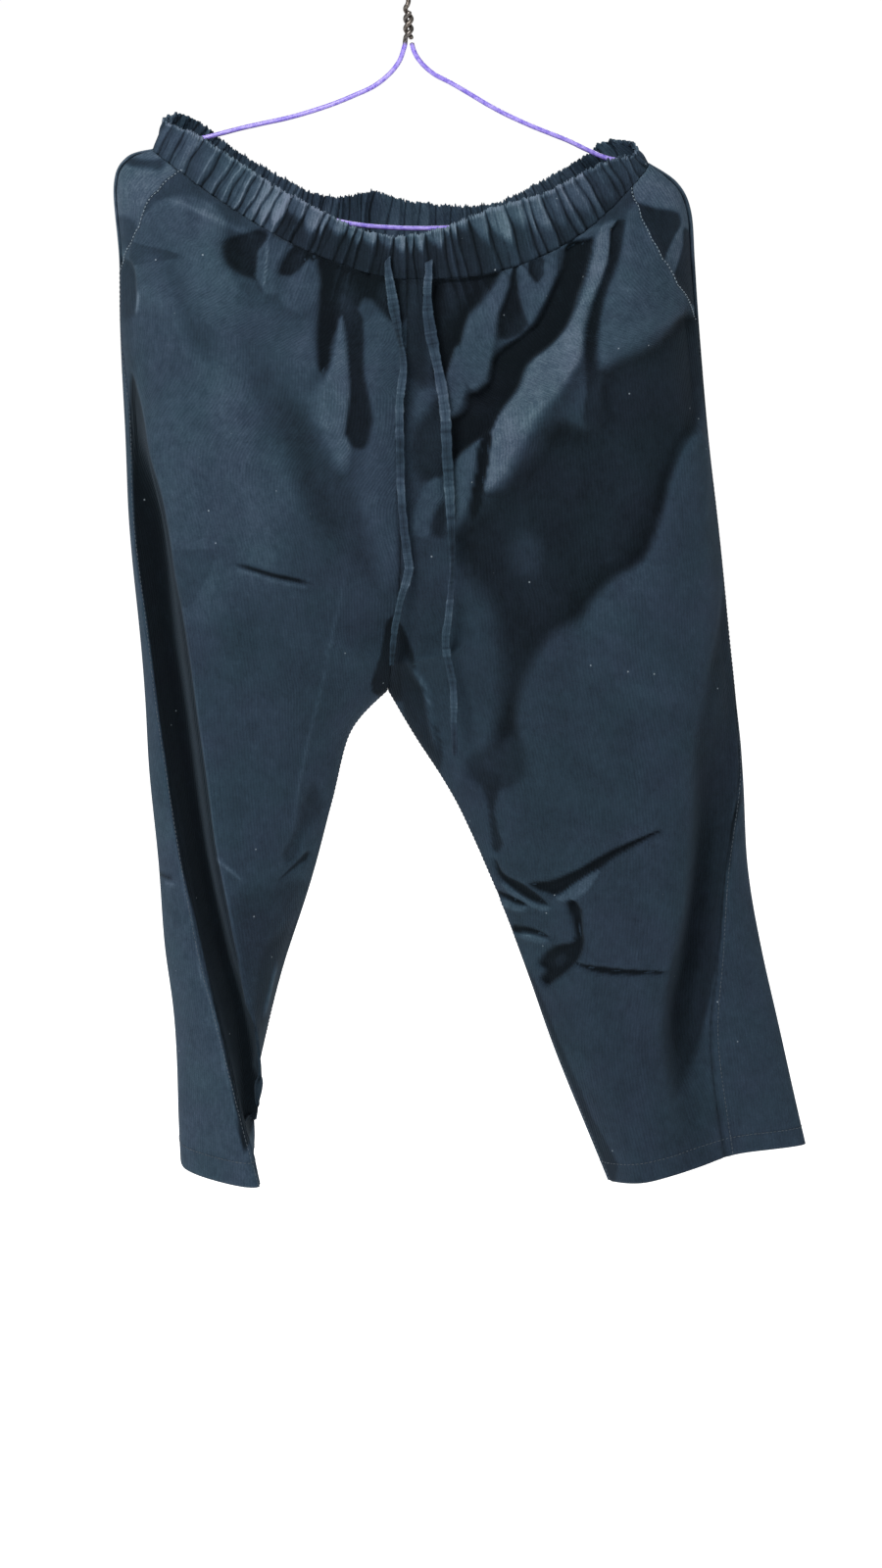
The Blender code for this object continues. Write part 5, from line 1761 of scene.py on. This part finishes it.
@dataclass(frozen=True)
class Stitching:
    """Rows of lock stitches laid along seams and hems by Geometry Nodes."""

    material: Material
    length_mm: float = 3.0
    pitch_mm: float = 3.9
    radius_mm: float = 0.3

    def tree(self) -> NodeTree:
        """Builds the node tree that lays stitches along curves.

        Returns:
            The tree.
        """
        tree = bpy.data.node_groups.new("stitch_rows", "GeometryNodeTree")
        face = tree.interface
        face.new_socket("Geometry", in_out="INPUT", socket_type="NodeSocketGeometry")
        sizes = {"Pitch": self.pitch_mm, "Length": self.length_mm, "Radius": self.radius_mm}
        for name, value in sizes.items():
            socket = face.new_socket(name, in_out="INPUT", socket_type="NodeSocketFloat")
            socket.default_value = value * MM
        seed = face.new_socket("Seed", in_out="INPUT", socket_type="NodeSocketInt")
        seed.default_value = 11
        face.new_socket("Geometry", in_out="OUTPUT", socket_type="NodeSocketGeometry")
        given = add_node(tree, "NodeGroupInput").outputs
        pitch = {"Curve": given["Geometry"], "Length": given["Pitch"]}
        rows = add_node(tree, "GeometryNodeResampleCurve", pitch, mode="LENGTH").outputs["Curve"]
        tangent = add_node(tree, "GeometryNodeInputTangent").outputs["Tangent"]
        turned = add_node(
            tree, "FunctionNodeAlignRotationToVector", {"Vector": tangent}, axis="Z"
        ).outputs["Rotation"]
        rod = {"Vertices": 6, "Side Segments": 3, "Radius": given["Radius"], "Depth": given["Length"]}
        body = add_node(tree, "GeometryNodeMeshCylinder", rod, fill_type="NGON").outputs["Mesh"]
        # Each stitch is a spindle, thin where it dives into the cloth.
        spot = add_node(tree, "GeometryNodeInputPosition").outputs["Position"]
        height = add_node(tree, "ShaderNodeSeparateXYZ", {"Vector": spot}).outputs["Z"]
        end = add_node(tree, "ShaderNodeMath", {0: height}, operation="ABSOLUTE").outputs[0]
        half_long = add_node(
            tree, "ShaderNodeMath", {0: given["Length"], 1: 0.5}, operation="MULTIPLY"
        ).outputs[0]
        share = add_node(tree, "ShaderNodeMath", {0: end, 1: half_long}, operation="DIVIDE").outputs[0]
        taper = {"Value": share, "From Min": 0.3, "From Max": 1.0, "To Min": 1.0, "To Max": 0.35}
        slim = add_node(tree, "ShaderNodeMapRange", taper).outputs["Result"]
        scale = add_node(tree, "ShaderNodeCombineXYZ", {"X": slim, "Y": slim, "Z": 1.0}).outputs["Vector"]
        placed = add_node(
            tree, "ShaderNodeVectorMath", {0: spot, 1: scale}, operation="MULTIPLY"
        ).outputs[0]
        stitch = add_node(tree, "GeometryNodeSetPosition", {"Geometry": body, "Position": placed})
        limits = {"Min": (0.8, 0.8, 0.7), "Max": (1.15, 1.15, 1.08), "Seed": given["Seed"]}
        uneven = add_node(
            tree, "FunctionNodeRandomValue", limits, data_type="FLOAT_VECTOR"
        ).outputs["Value"]
        laid = add_node(tree, "GeometryNodeInstanceOnPoints", {
            "Points": rows, "Instance": stitch.outputs["Geometry"], "Rotation": turned, "Scale": uneven,
        }).outputs["Instances"]
        real = add_node(tree, "GeometryNodeRealizeInstances", {"Geometry": laid}).outputs["Geometry"]
        finished = add_node(
            tree, "GeometryNodeSetMaterial", {"Geometry": real, "Material": self.material}
        ).outputs["Geometry"]
        add_node(tree, "NodeGroupOutput", {"Geometry": finished})
        return tree

    def sew(self, name: str, lines: Sequence[Array], tree: NodeTree) -> Object:
        """Sews rows of stitches along lines.

        Args:
            name: The piece's name.
            lines: The lines in millimetres.
            tree: The node tree from tree().

        Returns:
            The stitches as one plain mesh, riding on the body.
        """
        curve = bpy.data.curves.new(name + "_guide", "CURVE")
        curve.dimensions = "3D"
        for line in lines:
            spline = curve.splines.new("POLY")
            spline.points.add(len(line) - 1)
            flat = np.concatenate([line * MM, np.ones((len(line), 1))], 1)
            spline.points.foreach_set("co", flat.astype(np.float32).ravel())
        guide = show(curve)
        modifier = guide.modifiers.new("rows", "NODES")
        modifier.node_group = tree
        graph = bpy.context.evaluated_depsgraph_get()
        mesh = bpy.data.meshes.new_from_object(guide.evaluated_get(graph))
        mesh.name = name
        bpy.data.objects.remove(guide)
        mesh.shade_smooth()
        piece = show(mesh)
        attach(piece, BODY)
        return piece


def seam_line(half: Half, s: Array, t: Array, lift: float) -> Array:
    """A line on the folded cloth, lifted off it by a little."""
    points, _ = half.surface(s, t)
    return points + half.outward(s, t) * lift


def seam_lines(half: Half) -> list[Array]:
    """Finds the lines that are topstitched on one half: side seam, inseam and hem.

    Args:
        half: The half.

    Returns:
        The lines in millimetres.
    """
    outer = levels_by_length(half, half.pocket[-1][0] + 0.02, HEM_ROW - 0.05, 300)
    inner = levels_by_length(half, CROTCH_ROW + 0.1, HEM_ROW - 0.05, 200)
    hem = np.linspace(0.05, CENTRE_BACK - 0.05, 420)
    return [
        seam_line(half, outer, np.full_like(outer, SIDE_SEAM + 0.09), 0.3),
        seam_line(half, inner, np.full_like(inner, 0.05), 0.3),
        seam_line(half, np.full_like(hem, HEM_ROW - 0.22), hem, 0.3),
    ]


def pocket_line(half: Half, inset: float) -> Array:
    """Finds a line that runs along one pocket mouth, a little in from its edge."""
    s = levels_by_length(half, 0.05, half.pocket[-1][0] - 0.05, 120)
    return seam_line(half, s, np.maximum(half.pocket_edge(s) - inset, 0.1), 0.4)


@dataclass
class Hanger:
    """The wire hanger: a coated frame whose strand winds up the neck, and the bare hook."""

    coated: Material
    bare: Material
    wire_mm: float = 4.0
    strand_gap: float = 0.9
    frame_y: float = 4.0
    twist_bottom: float = -95.0
    twist_top: float = -66.0
    twist_pitch: float = 16.0
    hook_radius: float = 20.0

    def strand(self, phase: float, low: float, high: float, count: int) -> list[tuple[float, float, float]]:
        """Winds one strand of the neck about the hook's upright axis.

        Args:
            phase: The angle that it starts at.
            low: The height of its start.
            high: The height of its end.
            count: How many points to return.

        Returns:
            The points of its centre line.
        """
        reach = (self.wire_mm + self.strand_gap) / 2
        heights = np.linspace(low, high, count)
        turns = phase + (heights - low) / self.twist_pitch * 2 * math.pi
        return [(reach * math.cos(a), self.frame_y + reach * math.sin(a), h) for a, h in zip(turns, heights)]

    def tube(self, name: str, points: Array, finish: Coat) -> Object:
        """Builds a wire along points, with rounded ends.

        Args:
            name: The piece's name.
            points: The wire's centre line in millimetres.
            finish: Coated or bare.

        Returns:
            The piece.
        """
        sides = 20
        along = unit(np.gradient(points, axis=0))
        normal = np.cross(along[0], [0.0, 1.0, 0.0])
        frames = []
        for direction in along:
            normal = unit(normal - direction * float(normal @ direction))
            frames.append(normal)
        first = np.array(frames)
        second = np.cross(along, first)
        run = run_along(points)
        radius = self.wire_mm / 2 * (1 - 0.012 * (1 + np.sin(run / 4.1 + 2 * np.sin(run / 23))))
        near_end = np.minimum(run, run[-1] - run)
        radius *= np.sqrt(np.clip(1 - (1 - np.clip(near_end / 1.2, 0, 1)) ** 2, 0.02, 1))
        angles = np.linspace(0, 2 * math.pi, sides, endpoint=False)[None, :, None]
        ring = first[:, None] * np.cos(angles) + second[:, None] * np.sin(angles)
        rings = points[:, None] + ring * radius[:, None, None]
        verts = np.concatenate([rings.reshape(-1, 3), points[:1], points[-1:]])
        material = self.coated if finish is Coat.COATED else self.bare
        piece = make_piece(name, verts, tube_faces(len(points), sides), material)
        return piece

    def build(self) -> list[Object]:
        """Builds the frame and the hook.

        Returns:
            Both pieces.
        """
        flat = ARM_LEFT[::-1] + END_LEFT[::-1] + BAR[::-1] + END_RIGHT[::-1] + ARM_RIGHT[::-1]
        body = smooth_path([(x, self.frame_y, z) for x, z in flat], 66)
        wound = self.strand(math.pi, self.twist_bottom + 2, self.twist_top - 5, 18)
        whole = np.concatenate([body, np.array(wound)])
        outer = self.tube("hanger_frame_wire", smooth_path(whole, 420), Coat.COATED)
        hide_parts("hanger_frame")
        neck = self.strand(0, self.twist_bottom + 2, self.twist_top, 20)
        radius, top = self.hook_radius, self.twist_top
        centre_z = self.wire_mm / 2 - radius
        arc = [math.radians(a) for a in range(200, -31, -12)]
        bow = [(radius * math.cos(a), 0.0, centre_z + radius * math.sin(a)) for a in arc]
        lead = [(0, 3.5, top + 5), (-4, 2.5, top + 11), (-10, 1.0, top + 22)]
        hook = self.tube("hanger_hook_wire", smooth_path(neck + lead + bow, 240), Coat.BARE)
        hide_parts("hanger_hook")
        return [outer, hook]


@dataclass(frozen=True)
class Studio:
    """A white paper floor, soft light from above and in front, and the camera of the photograph."""

    floor_mm: float = -1420.0
    pitch_deg: float = 12.0
    focal_px: float = 3411.76
    frame_px: float = 1600.0

    def camera(self) -> None:
        """Places the camera and makes it the scene's."""
        data = bpy.data.cameras.new("camera")
        data.sensor_width = 36.0
        data.lens = self.focal_px * data.sensor_width / self.frame_px
        data.clip_end = 50.0
        camera = show(data)
        camera.location = Vector(EYE) * MM
        camera.rotation_euler = (math.radians(90 - self.pitch_deg), 0, 0)
        bpy.context.scene.camera = camera

    def floor(self, paper: Material) -> None:
        """Builds the floor, flat and wide enough for every view.

        Args:
            paper: Its finish.
        """
        steps = (-12.0, -3.0, 0.0, 3.0, 12.0)
        verts = [(x, y, self.floor_mm * MM) for y in steps for x in steps]
        mesh = bpy.data.meshes.new("paper_floor")
        mesh.from_pydata(verts, [], grid_faces(5, 5, 0, False, True).tolist())
        mesh.materials.append(paper)
        mesh.shade_smooth()
        floor = show(mesh)

    def lamp(self, name: str, place: Sequence[float], aim_z: float, size: float, watts: float) -> None:
        """Adds a square soft light that faces the middle of the garment.

        Args:
            name: The light's name.
            place: Where it stands, in metres.
            aim_z: How high the point over the origin is that it faces, in metres.
            size: The length of its side, in metres.
            watts: Its power.
        """
        data = bpy.data.lights.new(name, "AREA")
        data.shape = "SQUARE"
        data.size = size
        data.energy = watts
        lamp = show(data)
        lamp.location = place
        aim = Vector((0.0, 0.0, aim_z)) - Vector(place)
        lamp.rotation_euler = aim.to_track_quat("-Z", "Y").to_euler()

    def build(self) -> None:
        """Builds the studio."""
        self.camera()
        self.floor(Paper().material())
        self.lamp("key_light", (-0.7, -1.9, 1.3), -0.55, 0.9, 62.0)
        self.lamp("front_fill", (1.2, -3.2, 0.2), -0.7, 2.2, 14.0)
        self.lamp("back_light", (0.6, 2.2, 1.6), -0.7, 1.6, 40.0)
        scene = bpy.context.scene
        world = bpy.data.worlds.new("studio")
        world.use_nodes = True
        # The white room behind is bright to the eye, but the lamps light the cloth.
        sky = world.node_tree.nodes["Background"]
        sky.inputs["Color"].default_value = linear("#ffffff")
        seen = add_node(world.node_tree, "ShaderNodeLightPath").outputs["Is Camera Ray"]
        bright = add_node(
            world.node_tree, "ShaderNodeMath", {0: seen, 1: 0.92, 2: 0.1}, operation="MULTIPLY_ADD"
        )
        world.node_tree.links.new(bright.outputs[0], sky.inputs["Strength"])
        scene.world = world
        scene.view_settings.view_transform = "Standard"


def main() -> None:
    """Builds the studio and then every piece in order, and reports each."""
    Studio().build()
    cloth = Corduroy().material()
    strip = Corduroy(name="navy_corduroy_tie", wale_mm=1.8, patch_mm=20.0).material()
    thread = Thread().material()
    patches = RIGHT_PATCHES + CROTCH_PATCHES
    right = Half(Side.RIGHT, RIGHT_HALF, RIGHT_FOLDS, patches, RIGHT_POCKET, 0.34, 0.42)
    patches = LEFT_PATCHES + CROTCH_PATCHES
    left = Half(Side.LEFT, LEFT_HALF, LEFT_FOLDS, patches, LEFT_POCKET, 0.29, 0.32)
    garment = Garment(right, left, cloth, strip)
    made = [
        garment.tie(Side.RIGHT, TIE_RIGHT, TIE_RIGHT_TURNS),
        garment.tie(Side.LEFT, TIE_LEFT, TIE_LEFT_TURNS),
    ]
    band = garment.waistband()
    stitching = Stitching(thread)
    edging = Stitching(Thread("pale_thread", "#8496a5", "#56656f").material(), 2.4, 3.4, 0.55)
    rows, edge_rows = stitching.tree(), edging.tree()
    for half in (right, left):
        side = half.side.value
        sewn = stitching.sew(f"stitching_{side}", seam_lines(half), rows)
        edge = edging.sew(f"pocket_stitching_{side}", [pocket_line(half, 0.03)], edge_rows)
        front, back, facing = garment.front(half), garment.back(half), garment.facing(half)
        made += [front, back, facing, sewn, edge]
    made += [band] + Hanger(CoatedWire().material(), BareWire().material()).build()
    for piece in made:
        LOG.info("%s: %d faces", piece.name, len(piece.data.polygons))


if __name__ == "__main__":
    logging.basicConfig(level=logging.INFO)
    main()
